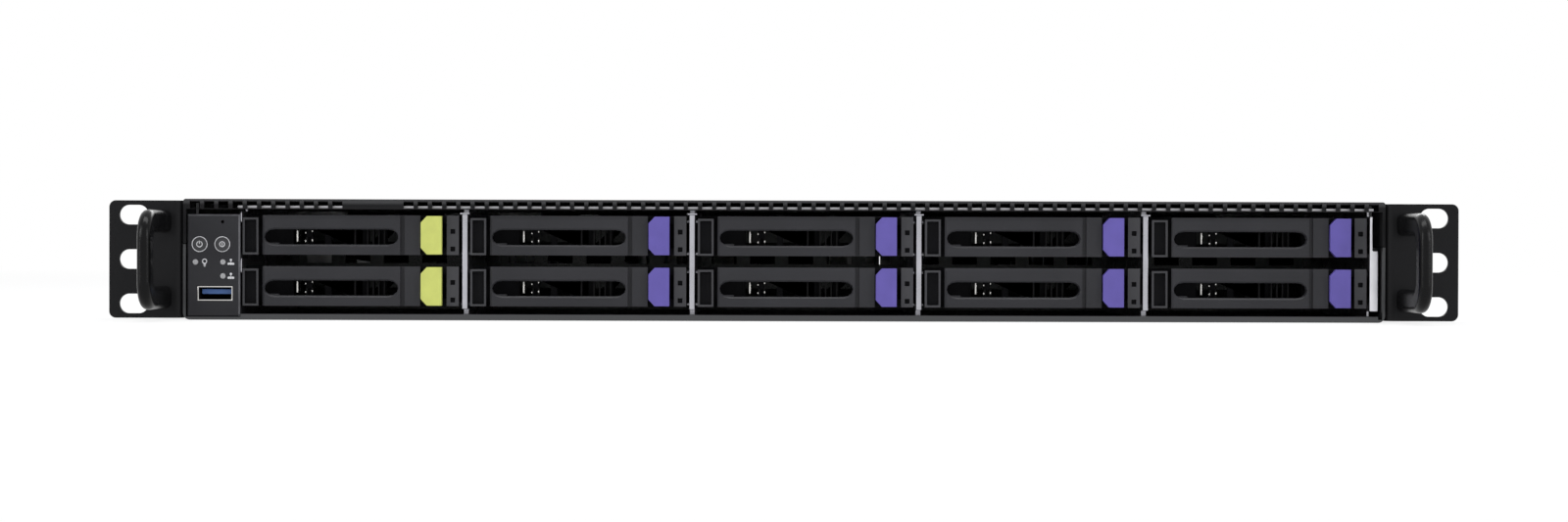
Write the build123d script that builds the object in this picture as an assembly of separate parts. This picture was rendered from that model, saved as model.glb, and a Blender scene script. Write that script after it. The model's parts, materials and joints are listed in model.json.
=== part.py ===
"""A 1U rack server with ten small drive trays, built as separate pieces.

Millimetres. +Z is up, the front looks along -Y, +X is to the right seen from the front.
The origin is the middle of the footprint, on the underside of the body.
"""

from build123d import *
import math
import os

# Rack standard
rack_width = 482.6
ear_slot_inset = 8.75
ear_slot_pitch = 15.875
ear_slot_length = 10.5
ear_slot_height = 7.0

# Body
ear_flange = 26.3
body_height = 43.2
body_length = 700.0
sheet = 1.0
pan_corner = 2.5
hem_height = 2.1
hem_depth = 8.0
seam_height = 27.0
fit_gap = 0.3
running_gap = 0.1

# Ears and handles
ear_height = 42.0
ear_thickness = 2.0
ear_bend = 3.0
ear_corner = 2.4
ear_arm_length = 42.0
handle_reach = 36.0
handle_height = 35.0
handle_width = 4.8
handle_depth = 8.0
handle_corner = 10.0
handle_inner_corner = 4.0
handle_edge = 1.7
handle_inset = 4.1
screw_radius = 1.9
screw_head_radius = 3.4
screw_head_height = 1.8
screw_grip = 6.0
screw_sides = 8
arm_screw_setback = 14.0
arm_screw_pitch = 18.0
arm_screw_height = 13.5

# Front cover and its perforated lip
front_cover_length = 150.0
lip_height = 3.6
lip_hole_width = 3.6
lip_hole_height = 2.7
lip_hole_pitch = 5.08
lip_hole_count = 84
lip_hole_drop = 0.7
lip_blank_first = 11
lip_blank_count = 4

# Top cover
cover_seam = 0.5
cover_bracket_height = 9.0
cover_bracket_width = 18.0
cover_screw_radius = 1.9
cover_screw_head_radius = 5.0
cover_screw_head_depth = 6.0
cover_screw_reach = 4.0
cover_screw_drop = 4.6
cover_screw_sides = 12

# Drive trays
column_count = 5
row_count = 2
tray_gap = 4.1
row_pitch = 18.3
right_margin = 6.2
first_row_z = 5.0
tray_recess = 1.0
tray_height = 14.2
tray_length = 118.0
bezel_depth = 9.5
bezel_wall = 1.5
shelf_thickness = 1.2
window_width = 5.7
window_height = 13.3
window_rim = 0.8
window_recess = 1.5
window_setback = 0.6
right_block_setback = 1.2
light_pipe_size = 1.7
light_pipe_depth = 0.8
light_pipe_low = 2.2
light_pipe_high = 8.5
vent_count = 6
vent_rib = 2.3
vent_height = 7.0
rail_inset = 1.85
rail_thickness = 1.7
rail_bottom = 1.5
rail_height = 10.0
crossbar_thickness = 2.0
crossbar_height = 3.0

# Ejector lever
lever_left = 7.1
lever_right_margin = 20.9
lever_skin = 1.3
lever_thickness = 3.0
lever_corner = 0.8
lever_bevel_height = 1.5
lever_bevel_depth = 0.5
lever_rim = 1.2
groove_width = 1.5
groove_depth = 1.6
tongue_length = 5.6
tongue_setback = 0.8
slot_margin = 0.8
slot_height = 5.4
slot_drop = 0.7
slot_end = 3.5
slot_chamfer = 0.6
slot_steps = 6
slot_collar = 1.0
pivot_from_left = 3.9
pivot_depth = 3.4
knuckle_radius = 1.9
knuckle_corner = 1.2
pin_radius = 0.9
ear_plate = 2.0
knuckle_height = 2.0
pin_end_gap = 0.2
lever_body_from_pivot = 5.0

# Release latch
latch_width = 7.5
latch_height = 13.8
latch_proud = 0.8
latch_cap_depth = 3.0
latch_chamfer_x = 2.2
latch_chamfer_z = 2.4
latch_stem_width = 3.9
latch_stem_height = 8.0
latch_stem_length = 5.5
latch_travel = 1.3

# Drive cage
cage_setback = 1.4
cage_top_height = 39.9
divider_thickness = 1.9
divider_setback = 3.0
divider_low = 4.0
divider_high = 38.0
cage_left_gap = 0.7
cage_right_gap = 1.3
ledge_thickness = 1.0
ledge_setback = 14.0
end_flange_width = 3.0

# Control panel
panel_left_gap = 0.3
panel_width = 18.9
panel_top = 37.7
panel_depth = 15.5
panel_setback = 0.5
panel_edge = 0.5
button_radius = 2.4
button_proud = 0.3
button_wall = 2.0
button_flange_radius = 3.0
button_flange_depth = 1.0
button_stem_radius = 1.6
button_stem_length = 2.0
button_travel = 0.8
button_sides = 12
button_height = 27.0
power_button_inset = 4.5
service_button_inset = 12.6
pinhole_radius = 0.6
pinhole_inset = 12.7
pinhole_z = 35.0
plunger_radius = 0.9
plunger_length = 2.5
plunger_travel = 0.4
light_radius = 1.0
light_length = 4.0
light_proud = 0.1
left_light_inset = 3.0
right_light_inset = 12.8
upper_light_z = 20.6
lower_light_z = 15.6
port_inset = 10.05
port_z = 9.4
port_width = 12.5
port_height = 5.2
port_wall = 0.4
port_depth = 13.0
tongue_width = 10.6
tongue_thickness = 1.8
tongue_reach = 9.0
tongue_lift = 0.6

# Drive backplane
connector_width = 42.0
connector_height = 6.0
connector_reach = 6.0
connector_lift = 3.5
connector_gap = 1.0
board_thickness = 1.6
backplane_top = 38.5
backplane_slot_height = 4.0
backplane_slot_width = 10.0
backplane_slot_count = 5

# Fans
fan_count = 5
fan_end_inset = 51.0
fan_size = 40.0
fan_depth = 28.0
fan_setback = 178.0
fan_bore = 19.0
fan_base_radius = 9.0
fan_base_depth = 3.0
fan_base_sides = 12
fan_bore_sides = 24
fan_strut_width = 2.4
fan_strut_sink = 1.0
fan_strut_count = 3
fan_corner = 2.5
rotor_hub_radius = 9.5
rotor_hub_depth = 20.0
rotor_tip_radius = 18.2
rotor_blade_count = 5
rotor_blade_thickness = 1.0
rotor_root_chord = 12.0
rotor_tip_chord = 15.0
rotor_pitch = 36.0
rotor_hub_sides = 20
rotor_shaft_radius = 1.5
rotor_shaft_length = 2.5

# Main board
standoff_height = 5.0
standoff_radius = 3.0
board_margin = 7.0
board_front = 240.0
supply_front_gap = 10.0
board_rear_gap = 12.0
heatsink_width = 78.0
heatsink_length = 108.0
heatsink_height = 26.0
heatsink_base = 4.0
fin_thickness = 0.8
fin_count = 16
socket_size = 60.0
socket_height = 5.0
module_length = 133.35
module_height = 30.0
module_thickness = 1.3
module_pitch = 8.4
modules_per_side = 4
module_clear = 6.0
module_socket_height = 7.0
module_socket_width = 5.6

# Power supplies
supply_width = 73.5
supply_height = 39.0
supply_length = 185.0
supply_gap = 1.2
supply_lift = 0.3
supply_handle_reach = 20.0
supply_handle_height = 28.0
supply_handle_width = 9.0
supply_handle_wall = 3.0
supply_handle_corner = 5.0
supply_handle_x = 0.0
inlet_width = 24.0
inlet_height = 16.5
inlet_depth = 17.0
inlet_corner = 3.0
inlet_x = 18.5
inlet_z = 19.0
inlet_pin_width = 2.0
inlet_pin_height = 4.0
inlet_pin_length = 11.5
inlet_pin_spread = 7.0
inlet_pin_rise = 2.0
supply_vent_radius = 16.0
supply_vent_x = -17.0
supply_vent_count = 7
supply_vent_gap = 2.0
supply_vent_depth = 3.0
tab_width = 6.0
tab_height = 5.0
tab_reach = 5.0
tab_x = 33.0
tab_z = 33.0

# Rear wall and its sockets
bay_margin = 0.6
rear_vent_pitch = 7.0
rear_vent_width = 4.0
rear_vent_height = 12.0
rear_vent_low = 23.5
rear_left_margin = 15.0
rear_middle_gap = 24.5
slot_cover_height = 12.0
slot_cover_recess = 0.5
slot_cover_low = 6.5
network_width = 16.0
network_height = 13.5
network_depth = 21.0
network_opening_width = 11.8
network_opening_height = 8.0
network_opening_depth = 14.0
network_pitch = 20.0
network_count = 3
network_inset = 22.7
socket_proud = 0.5
data_width = 14.6
data_height = 15.5
data_inset = 70.0
data_opening_width = 12.5
data_opening_height = 5.2
data_opening_depth = 12.0
data_opening_pitch = 7.2
video_inset = 30.0
video_width = 31.0
video_height = 12.5
video_depth = 12.0
video_plug_width = 17.0
video_plug_height = 8.4
video_plug_reach = 5.5
video_plug_slope = 10.0

# Places worked out from the sizes above
half_width = rack_width / 2 - ear_flange
mid_height = body_height / 2
overall_length = handle_reach + body_length + supply_handle_reach
face_y = handle_reach - overall_length / 2
rear_y = face_y + body_length
joggle = sheet + fit_gap
wall_inner_x = half_width - joggle - sheet
cover_under = body_height - sheet
pan_wall_top = cover_under - fit_gap
ear_low = mid_height - ear_height / 2
panel_x = -half_width + sheet + panel_left_gap
panel_y = face_y + panel_setback
upper_wall_y = panel_y + panel_depth + fit_gap
power_button_x = panel_x + power_button_inset
service_button_x = panel_x + service_button_inset
pinhole_x = panel_x + pinhole_inset
port_x = panel_x + port_inset
light_places = (
    (panel_x + left_light_inset, upper_light_z),
    (panel_x + right_light_inset, upper_light_z),
    (panel_x + right_light_inset, lower_light_z),
)
tray_y = face_y + tray_recess
first_column_x = panel_x + panel_width + cage_left_gap
last_tray_right = half_width - right_margin
column_pitch = (last_tray_right + tray_gap - first_column_x) / column_count
tray_width = column_pitch - tray_gap
cage_left_x = first_column_x - cage_left_gap
cage_right_x = last_tray_right + cage_right_gap
backplane_y = tray_y + tray_length + connector_gap + connector_reach
cage_rear_y = backplane_y - fit_gap
pivot_x = lever_left + pivot_from_left
lever_right = tray_width - lever_right_margin
lever_end = lever_right + groove_width + tongue_length
latch_x = lever_end + fit_gap
block_x = latch_x + latch_width + latch_travel + fit_gap
fan_pitch = 2 * (half_width - fan_end_inset) / (fan_count - 1)
board_z = sheet + standoff_height
board_top = board_z + board_thickness
board_tail_front = body_length - supply_length - supply_front_gap
heatsink_x = wall_inner_x / 2
heatsink_y = (board_front + board_tail_front) / 2
supply_z = sheet + supply_lift
supply_right_x = wall_inner_x - supply_gap
supply_centres = (
    supply_right_x - supply_width * 1.5 - supply_gap,
    supply_right_x - supply_width / 2,
)
bay_left_x = supply_right_x - 2 * supply_width - supply_gap - bay_margin
network_x = bay_left_x - network_inset
data_x = network_x - data_inset
video_x = data_x - video_inset
slot_cover_left = rear_left_margin - half_width
slot_cover_right = video_x - video_width / 2 - rear_middle_gap
rear_vent_x = (slot_cover_left + slot_cover_right) / 2
rear_vent_count = int((slot_cover_right - slot_cover_left) / rear_vent_pitch)


def block(x, y, z):
    """A box between low and high corners, each axis given as (low, high)."""
    centre = [(low + high) / 2 for low, high in (x, y, z)]
    return Pos(*centre) * Box(x[1] - x[0], y[1] - y[0], z[1] - z[0])


def along_x(profile, low, high):
    """A profile drawn in Y and Z, extruded along X."""
    return extrude(Plane.YZ.offset(low) * profile, high - low)


def along_y(profile, low, high):
    """A profile drawn in X and Z, extruded along Y."""
    return extrude(Plane.XZ.offset(-high) * profile, high - low)


def along_z(profile, low, high):
    """A profile drawn in X and Y, extruded along Z."""
    return extrude(Plane.XY.offset(low) * profile, high - low)


def outline(points):
    """A flat face inside a closed run of straight lines."""
    return make_face(Polyline(*points, close=True))


def rod_y(x, z, radius, low, high):
    """A round rod along Y."""
    return along_y(Pos(x, z) * Circle(radius), low, high)


def rod_x(y, z, radius, low, high):
    """A round rod along X."""
    return along_x(Pos(y, z) * Circle(radius), low, high)


def both_sides(piece):
    """A piece and its mirror image across the middle plane."""
    return piece + mirror(piece, about=Plane.YZ)


def column_x(column):
    return first_column_x + column * column_pitch


def row_z(row):
    return first_row_z + row * row_pitch


def fan_x(number):
    return (number - (fan_count - 1) / 2) * fan_pitch


def network_centre(number):
    return network_x - number * network_pitch


def make_chassis_base():
    """The pan: floor, joggled side walls, hemmed front edge, rear wall and board stand-offs."""
    inside = half_width - sheet
    joggle_low = seam_height - joggle
    lower = outline(
        [
            (-half_width, 0),
            (half_width, 0),
            (half_width, joggle_low),
            (inside, joggle_low),
            (inside, sheet),
            (-inside, sheet),
            (-inside, joggle_low),
            (-half_width, joggle_low),
        ]
    )
    outer = lower.vertices().filter_by(lambda v: v.Y < sheet / 2)
    lower = fillet(outer, pan_corner)
    pan = along_y(lower, face_y, rear_y)
    straight = block((inside, half_width), (face_y, upper_wall_y), (joggle_low, seam_height))
    step = outline(
        [
            (inside, joggle_low - joggle),
            (inside, joggle_low),
            (half_width, joggle_low),
            (half_width - joggle, seam_height),
            (half_width - joggle, pan_wall_top),
            (wall_inner_x, pan_wall_top),
            (wall_inner_x, joggle_low),
        ]
    )
    pan += both_sides(straight + along_y(step, upper_wall_y, rear_y))
    hem_x = (panel_x + panel_width + fit_gap, half_width - pan_corner)
    pan += block(hem_x, (face_y, face_y + hem_depth), (sheet, hem_height))
    pan += rear_wall()
    for x, y in standoff_places():
        stud = RegularPolygon(standoff_radius, 6)
        pan += along_z(Pos(x, y) * stud, sheet, board_z)
    holes = Part()
    for y in arm_screw_places():
        hole = Pos(y, arm_screw_height) * screw_shape(screw_radius + running_gap)
        holes += both_sides(along_x(hole, wall_inner_x, half_width))
    return pan - holes


def arm_screw_places():
    first = face_y + arm_screw_setback
    return (first, first + arm_screw_pitch)


def standoff_places():
    """Under the corners and the middle of the main board."""
    inner = wall_inner_x - board_margin - 2 * standoff_radius
    front = face_y + board_front + 2 * standoff_radius
    tail = rear_y - board_rear_gap - 2 * standoff_radius
    middle = face_y + board_tail_front - 2 * standoff_radius
    tail_right = bay_left_x - board_margin - 2 * standoff_radius
    return (
        (-inner, front),
        (inner, front),
        (-inner, middle),
        (inner, middle),
        (-inner, tail),
        (tail_right, tail),
    )


def rear_wall():
    """The bent-up rear wall with the supply bay, sockets, blank slot cover and vents cut out."""
    inside = half_width - joggle
    low_y = rear_y - sheet
    wall = block((-inside, inside), (low_y, rear_y), (sheet, pan_wall_top))
    cut_y = (low_y - sheet, rear_y + sheet)
    bay_right = supply_right_x + bay_margin
    wall -= block(
        (bay_left_x, bay_right), cut_y, (sheet, supply_z + supply_height + bay_margin)
    )
    for number in range(network_count):
        wall -= socket_hole(network_centre(number), network_width, network_height, cut_y)
    wall -= socket_hole(data_x, data_width, data_height, cut_y)
    wall -= socket_hole(video_x, video_width, video_height, cut_y)
    for number in range(rear_vent_count):
        x = rear_vent_x + (number - (rear_vent_count - 1) / 2) * rear_vent_pitch
        sides = (x - rear_vent_width / 2, x + rear_vent_width / 2)
        wall -= block(sides, cut_y, (rear_vent_low, rear_vent_low + rear_vent_height))
    cover_x = (slot_cover_left, slot_cover_right)
    cover_z = (slot_cover_low, slot_cover_low + slot_cover_height)
    wall -= block(cover_x, (rear_y - slot_cover_recess, rear_y + sheet), cover_z)
    screw_z = cover_under - cover_screw_drop
    hole_radius = cover_screw_radius + running_gap
    wall -= rod_y(0, screw_z, hole_radius, *cut_y)
    return wall


def socket_hole(x, width, height, y):
    """The clear cut-out round a socket that stands on the main board."""
    side = width / 2 + fit_gap
    z = (board_top - fit_gap, board_top + height + fit_gap)
    return block((x - side, x + side), y, z)


def cover_shell(low_y, high_y):
    """An inverted tray of sheet with rounded long edges, shared by both covers."""
    skin = outline(
        [
            (-half_width, seam_height + fit_gap),
            (-half_width, body_height),
            (half_width, body_height),
            (half_width, seam_height + fit_gap),
            (half_width - sheet, seam_height + fit_gap),
            (half_width - sheet, cover_under),
            (-half_width + sheet, cover_under),
            (-half_width + sheet, seam_height + fit_gap),
        ]
    )
    corners = skin.vertices().filter_by(lambda v: v.Y > body_height - sheet / 2)
    return along_y(fillet(corners, sheet), low_y, high_y)


def make_front_cover():
    """The fixed cover over the drives, with a row of square holes in its turned-down lip."""
    cover = cover_shell(face_y, face_y + front_cover_length)
    inside = half_width - sheet
    lip_low = body_height - lip_height
    cover += block((-inside, inside), (face_y, face_y + sheet), (lip_low, cover_under))
    holes = Part()
    top = body_height - lip_hole_drop
    for number in range(lip_hole_count):
        if lip_blank_first <= number < lip_blank_first + lip_blank_count:
            continue
        x = (number - (lip_hole_count - 1) / 2) * lip_hole_pitch
        side = lip_hole_width / 2
        holes += block(
            (x - side, x + side),
            (face_y - sheet, face_y + 2 * sheet),
            (top - lip_hole_height, top),
        )
    return cover - holes


def make_top_cover():
    """The sliding cover behind it, from the seam to just past the rear wall."""
    low_y = face_y + front_cover_length + cover_seam
    return cover_shell(low_y, rear_y + fit_gap + sheet)


def make_cover_screw():
    """The captive thumb screw and the bracket under the cover's rear edge that holds it."""
    bracket_y = rear_y + fit_gap
    seat_y = bracket_y + sheet
    z = cover_under - cover_screw_drop
    bracket = block(
        (-cover_bracket_width / 2, cover_bracket_width / 2),
        (bracket_y, seat_y),
        (body_height - cover_bracket_height, cover_under),
    )
    bracket -= rod_y(0, z, cover_screw_radius + running_gap, bracket_y, seat_y)
    grip = RegularPolygon(cover_screw_head_radius, cover_screw_sides)
    screw = along_y(Pos(0, z) * grip, seat_y, seat_y + cover_screw_head_depth)
    screw += rod_y(0, z, cover_screw_radius, rear_y - cover_screw_reach, seat_y)
    return Compound(children=[bracket, screw])


def make_ear():
    """The right ear: a bent bracket with three long rack slots and an arm along the side."""
    top_view = outline(
        [
            (half_width, face_y),
            (rack_width / 2, face_y),
            (rack_width / 2, face_y + ear_thickness),
            (half_width + ear_thickness, face_y + ear_thickness),
            (half_width + ear_thickness, face_y + ear_arm_length),
            (half_width, face_y + ear_arm_length),
        ]
    )
    bend = top_view.vertices().sort_by_distance((half_width, face_y))[0]
    top_view = fillet(bend, ear_bend)
    ear = along_z(top_view, ear_low, ear_low + ear_height)
    outer = ear.edges().filter_by(Axis.Y)
    outer = outer.filter_by(lambda e: e.center().X > rack_width / 2 - sheet)
    ear = fillet(outer, ear_corner)
    for step in (-1, 0, 1):
        slot = Pos(rack_width / 2 - ear_slot_inset, mid_height + step * ear_slot_pitch)
        slot = slot * SlotOverall(ear_slot_length, ear_slot_height)
        ear -= along_y(slot, face_y - sheet, face_y + ear_thickness + sheet)
    hole = screw_shape(screw_radius + running_gap)
    outside = half_width + ear_thickness
    for y in arm_screw_places():
        ear -= along_x(Pos(y, arm_screw_height) * hole, half_width, outside)
    for z in handle_screw_heights():
        ear -= along_y(Pos(handle_x(), z) * hole, face_y, face_y + ear_thickness)
    return ear


def handle_x():
    return half_width + handle_inset + handle_width / 2


def handle_screw_heights():
    offset = (handle_height - handle_depth) / 2
    return (mid_height - offset, mid_height + offset)


def make_handle():
    """The right handle: a broad rounded loop that stands forward of its ear."""
    low = mid_height - handle_height / 2
    high = mid_height + handle_height / 2
    front = face_y - handle_reach
    loop = outline(
        [
            (face_y, low),
            (front, low),
            (front, high),
            (face_y, high),
            (face_y, high - handle_depth),
            (front + handle_depth, high - handle_depth),
            (front + handle_depth, low + handle_depth),
            (face_y, low + handle_depth),
        ]
    )
    near = loop.vertices().filter_by(lambda v: v.X < front + handle_depth / 2)
    loop = fillet(near, handle_corner)
    bar = front + handle_depth
    inner = loop.vertices().filter_by(lambda v: abs(v.X - bar) < fit_gap)
    inner = inner.filter_by(lambda v: abs(v.Y - mid_height) < handle_height / 2 - fit_gap)
    loop = fillet(inner, handle_inner_corner)
    left = half_width + handle_inset
    handle = along_x(loop, left, left + handle_width)
    sides = handle.faces().filter_by(Axis.X)
    rims = [e for face in sides for e in face.edges()]
    rims = [e for e in rims if e.center().Y < face_y - fit_gap]
    handle = chamfer(rims, handle_edge)
    for z in handle_screw_heights():
        hole = Pos(handle_x(), z) * screw_shape(screw_radius)
        handle -= along_y(hole, face_y - screw_grip, face_y)
    return handle


def screw_shape(radius):
    """The many-sided outline that screws and their holes share."""
    return RegularPolygon(radius, screw_sides)


def make_bracket_screws():
    """Screws that hold the ears to the pan and the handles to the ears, all alike."""
    outside = half_width + ear_thickness
    screws = []
    for y in arm_screw_places():
        place = Pos(y, arm_screw_height)
        shank = along_x(place * screw_shape(screw_radius), half_width - sheet, outside)
        head_end = outside + screw_head_height
        head = along_x(place * screw_shape(screw_head_radius), outside, head_end)
        screws.append(shank + head)
    for z in handle_screw_heights():
        place = Pos(handle_x(), z)
        back = face_y + ear_thickness
        shank = along_y(place * screw_shape(screw_radius), face_y - screw_grip, back)
        head_end = back + screw_head_height
        head = along_y(place * screw_shape(screw_head_radius), back, head_end)
        screws.append(shank + head)
    left = [mirror(screw, about=Plane.YZ) for screw in screws]
    return Compound(children=screws + left)


def make_drive_cage():
    """The zinc cage: a top sheet on dividers and end walls with guide ledges for the trays."""
    top_x = (cage_left_x - sheet, cage_right_x + sheet)
    top_y = (face_y + cage_setback, cage_rear_y)
    walls = [block(top_x, top_y, (cage_top_height, cage_top_height + sheet))]
    for column in range(1, column_count):
        left = column_x(column) - tray_gap / 2 - divider_thickness / 2
        right = left + divider_thickness
        divider = cage_divider(left, right)
        walls.append(divider + guide_ledges(left, -1) + guide_ledges(right, 1))
    left_x = (cage_left_x - sheet, cage_left_x)
    left_wall = block(left_x, (upper_wall_y, cage_rear_y), (sheet, cage_top_height))
    walls.append(left_wall + guide_ledges(cage_left_x, 1))
    right_wall = cage_divider(cage_right_x, cage_right_x + sheet)
    flange_x = (cage_right_x, cage_right_x + end_flange_width)
    flange_y = (face_y + divider_setback, face_y + divider_setback + sheet)
    right_wall += block(flange_x, flange_y, (divider_low, seam_height - joggle))
    walls.append(right_wall + guide_ledges(cage_right_x, -1))
    return Compound(children=walls)


def cage_divider(low, high):
    """One upright, stepped back at its top and bottom corners to clear the pan's hem."""
    front = face_y + divider_setback
    back = face_y + hem_depth + fit_gap
    side_view = outline(
        [
            (back, sheet),
            (cage_rear_y, sheet),
            (cage_rear_y, cage_top_height),
            (back, cage_top_height),
            (back, divider_high),
            (front, divider_high),
            (front, divider_low),
            (back, divider_low),
        ]
    )
    return along_x(side_view, low, high)


def guide_ledges(x, side):
    """The ledges below and above each tray's rail, folded out of a wall face at x."""
    if x in (cage_left_x,):
        gap = cage_left_gap
    elif x in (cage_right_x,):
        gap = cage_right_gap
    else:
        gap = (tray_gap - divider_thickness) / 2
    reach = gap + rail_inset + rail_thickness - fit_gap
    ends = sorted((x, x + side * reach))
    y = (face_y + ledge_setback, cage_rear_y)
    ledges = Part()
    for row in range(row_count):
        rail_low = row_z(row) + rail_bottom
        rail_high = rail_low + rail_height
        ledges += block(ends, y, (rail_low - fit_gap - ledge_thickness, rail_low - fit_gap))
        ledges += block(ends, y, (rail_high + fit_gap, rail_high + fit_gap + ledge_thickness))
    return ledges


def make_tray():
    """One drive tray in its own corner frame: bezel, side rails and rear crossbar."""
    wall_y = bezel_depth - bezel_wall
    bezel = block((0, tray_width), (wall_y, bezel_depth), (0, tray_height))
    bezel += window_block(wall_y)
    bezel += light_block(wall_y)
    shelf_y = (lever_thickness + fit_gap, wall_y)
    shelf_x = (pivot_x + lever_body_from_pivot, block_x)
    bezel += block(shelf_x, shelf_y, (0, shelf_thickness))
    bezel += block(shelf_x, shelf_y, (tray_height - shelf_thickness, tray_height))
    guide_x = (latch_x, block_x)
    guide_height = (tray_height - latch_stem_height) / 2 - fit_gap
    bezel += block(guide_x, shelf_y, (0, guide_height))
    bezel += block(guide_x, shelf_y, (tray_height - guide_height, tray_height))
    bezel += pivot_ears(wall_y)
    bezel -= bezel_vents(wall_y)
    rail_y = (bezel_depth, tray_length)
    rail_z = (rail_bottom, rail_bottom + rail_height)
    right_rail = tray_width - rail_inset
    bezel += block((rail_inset, rail_inset + rail_thickness), rail_y, rail_z)
    bezel += block((right_rail - rail_thickness, right_rail), rail_y, rail_z)
    bar_y = (tray_length - crossbar_thickness, tray_length)
    bar_z = (rail_bottom, rail_bottom + crossbar_height)
    return bezel + block((rail_inset, right_rail), bar_y, bar_z)


def window_block(wall_y):
    """The framed window at the left end of the bezel."""
    body = block((0, window_width), (window_setback, wall_y), (0, window_height))
    return body - block(
        (window_rim, window_width - window_rim),
        (window_setback, window_setback + window_recess),
        (window_rim, window_height - window_rim),
    )


def light_block(wall_y):
    """The block at the right end, with two small square light pipes let into it."""
    body = block((block_x, tray_width), (right_block_setback, wall_y), (0, tray_height))
    x = (block_x + tray_width) / 2
    half = light_pipe_size / 2
    for z in (light_pipe_low, light_pipe_high):
        body -= block(
            (x - half, x + half),
            (right_block_setback, right_block_setback + light_pipe_depth),
            (z - half, z + half),
        )
    return body


def pivot_ears(wall_y):
    """The two lugs that hold the lever's pins, with cut corners so that the lever clears them."""
    front = pivot_depth - knuckle_radius
    arm = Pos(pivot_x, (front + wall_y) / 2) * Rectangle(2 * knuckle_radius, wall_y - front)
    near = arm.vertices().filter_by(lambda v: v.Y < pivot_depth)
    arm = chamfer(near, knuckle_corner)
    ear = arm - Pos(pivot_x, pivot_depth) * Circle(pin_radius + running_gap)
    upper = along_z(ear, tray_height - ear_plate, tray_height)
    return along_z(ear, 0, ear_plate) + upper


def bezel_vents(wall_y):
    """Upright air slots through the bezel wall behind the lever's long slot."""
    start = pivot_x + lever_body_from_pivot
    pitch = (lever_right - start) / vent_count
    half = (pitch - vent_rib) / 2
    low = (tray_height - vent_height) / 2
    vents = Part()
    for number in range(vent_count):
        x = start + (number + 0.5) * pitch
        vents += block(
            (x - half, x + half),
            (wall_y - bezel_wall, bezel_depth + bezel_wall),
            (low, low + vent_height),
        )
    return vents


def make_lever():
    """One ejector lever: a shallow channel with a long slot, end tongue and hinge pins."""
    body_x = pivot_x + lever_body_from_pivot
    top_view = outline(
        [
            (lever_left, 0),
            (lever_right, 0),
            (lever_right, groove_depth),
            (lever_right + groove_width, groove_depth),
            (lever_right + groove_width, tongue_setback),
            (lever_end, tongue_setback),
            (lever_end, lever_thickness),
            (body_x, lever_thickness),
            (body_x, lever_skin),
            (lever_left, lever_skin),
        ]
    )
    corner = top_view.vertices().sort_by_distance((lever_left, 0))[0]
    lever = along_z(chamfer(corner, lever_corner), 0, tray_height)
    lever -= lever_bevel()
    pocket_x = (body_x + lever_rim, lever_right - lever_rim)
    pocket_y = (lever_skin, lever_thickness + sheet)
    below = slot_middle() - slot_height / 2 - slot_collar
    above = slot_middle() + slot_height / 2 + slot_collar
    lever -= block(pocket_x, pocket_y, (lever_rim, below))
    lever -= block(pocket_x, pocket_y, (above, tray_height - lever_rim))
    lever -= long_slot()
    return lever + knuckle(False) + knuckle(True)


def lever_bevel():
    """The wedge taken off the upper front edge of the lever's face."""
    wedge = outline(
        [
            (0, tray_height),
            (0, tray_height - lever_bevel_height),
            (lever_bevel_depth, tray_height),
        ]
    )
    return along_x(wedge, 0, lever_right)


def long_slot():
    """The long finger slot with drawn-out ends and a chamfered rim."""
    throat = slot_outline(0)
    mouth = slot_outline(slot_chamfer)
    through = along_y(throat, -sheet, lever_thickness + sheet)
    rim = loft([Plane.XZ * mouth, Plane.XZ.offset(-slot_chamfer) * throat], ruled=True)
    return through + rim


def slot_outline(grow):
    """The slot's outline, whose ends follow half an ellipse in a few straight steps."""
    left = lever_left + slot_margin + slot_end
    right = lever_right - slot_margin - slot_end
    reach = slot_end + grow / 2
    rise = slot_height / 2 + grow
    turns = [math.pi * (step / slot_steps - 0.5) for step in range(slot_steps + 1)]
    end = [(reach * math.cos(turn), rise * math.sin(turn)) for turn in turns]
    points = [(right + x, z) for x, z in end] + [(left - x, -z) for x, z in end]
    return outline([(x, z + slot_middle()) for x, z in points])


def slot_middle():
    return tray_height / 2 - slot_drop


def knuckle(upper):
    """One hinge knuckle on the back of the lever with its pin."""
    back = pivot_depth + knuckle_radius
    neck = Pos(pivot_x, (lever_skin + back) / 2) * Rectangle(
        2 * knuckle_radius, back - lever_skin
    )
    far = neck.vertices().filter_by(lambda v: v.Y > pivot_depth)
    neck = chamfer(far, knuckle_corner)
    low = ear_plate + fit_gap
    high = low + knuckle_height
    pin = Pos(pivot_x, pivot_depth) * Circle(pin_radius)
    piece = along_z(neck, low, high) + along_z(pin, pin_end_gap, high)
    if upper:
        middle = Plane.XY.offset(tray_height / 2)
        piece = mirror(piece, about=middle)
    return piece


def make_latch():
    """One release latch: a coloured cap with cut left corners and a guided stem."""
    low = (tray_height - latch_height) / 2
    high = low + latch_height
    right = latch_x + latch_width
    front_view = outline(
        [
            (latch_x + latch_chamfer_x, low),
            (right, low),
            (right, high),
            (latch_x + latch_chamfer_x, high),
            (latch_x, high - latch_chamfer_z),
            (latch_x, low + latch_chamfer_z),
        ]
    )
    back_y = latch_cap_depth - latch_proud
    cap = along_y(front_view, -latch_proud, back_y)
    stem_x = latch_x + (latch_width - latch_stem_width) / 2
    stem_low = (tray_height - latch_stem_height) / 2
    stem = block(
        (stem_x, stem_x + latch_stem_width),
        (back_y, back_y + latch_stem_length),
        (stem_low, stem_low + latch_stem_height),
    )
    return cap + stem


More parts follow.
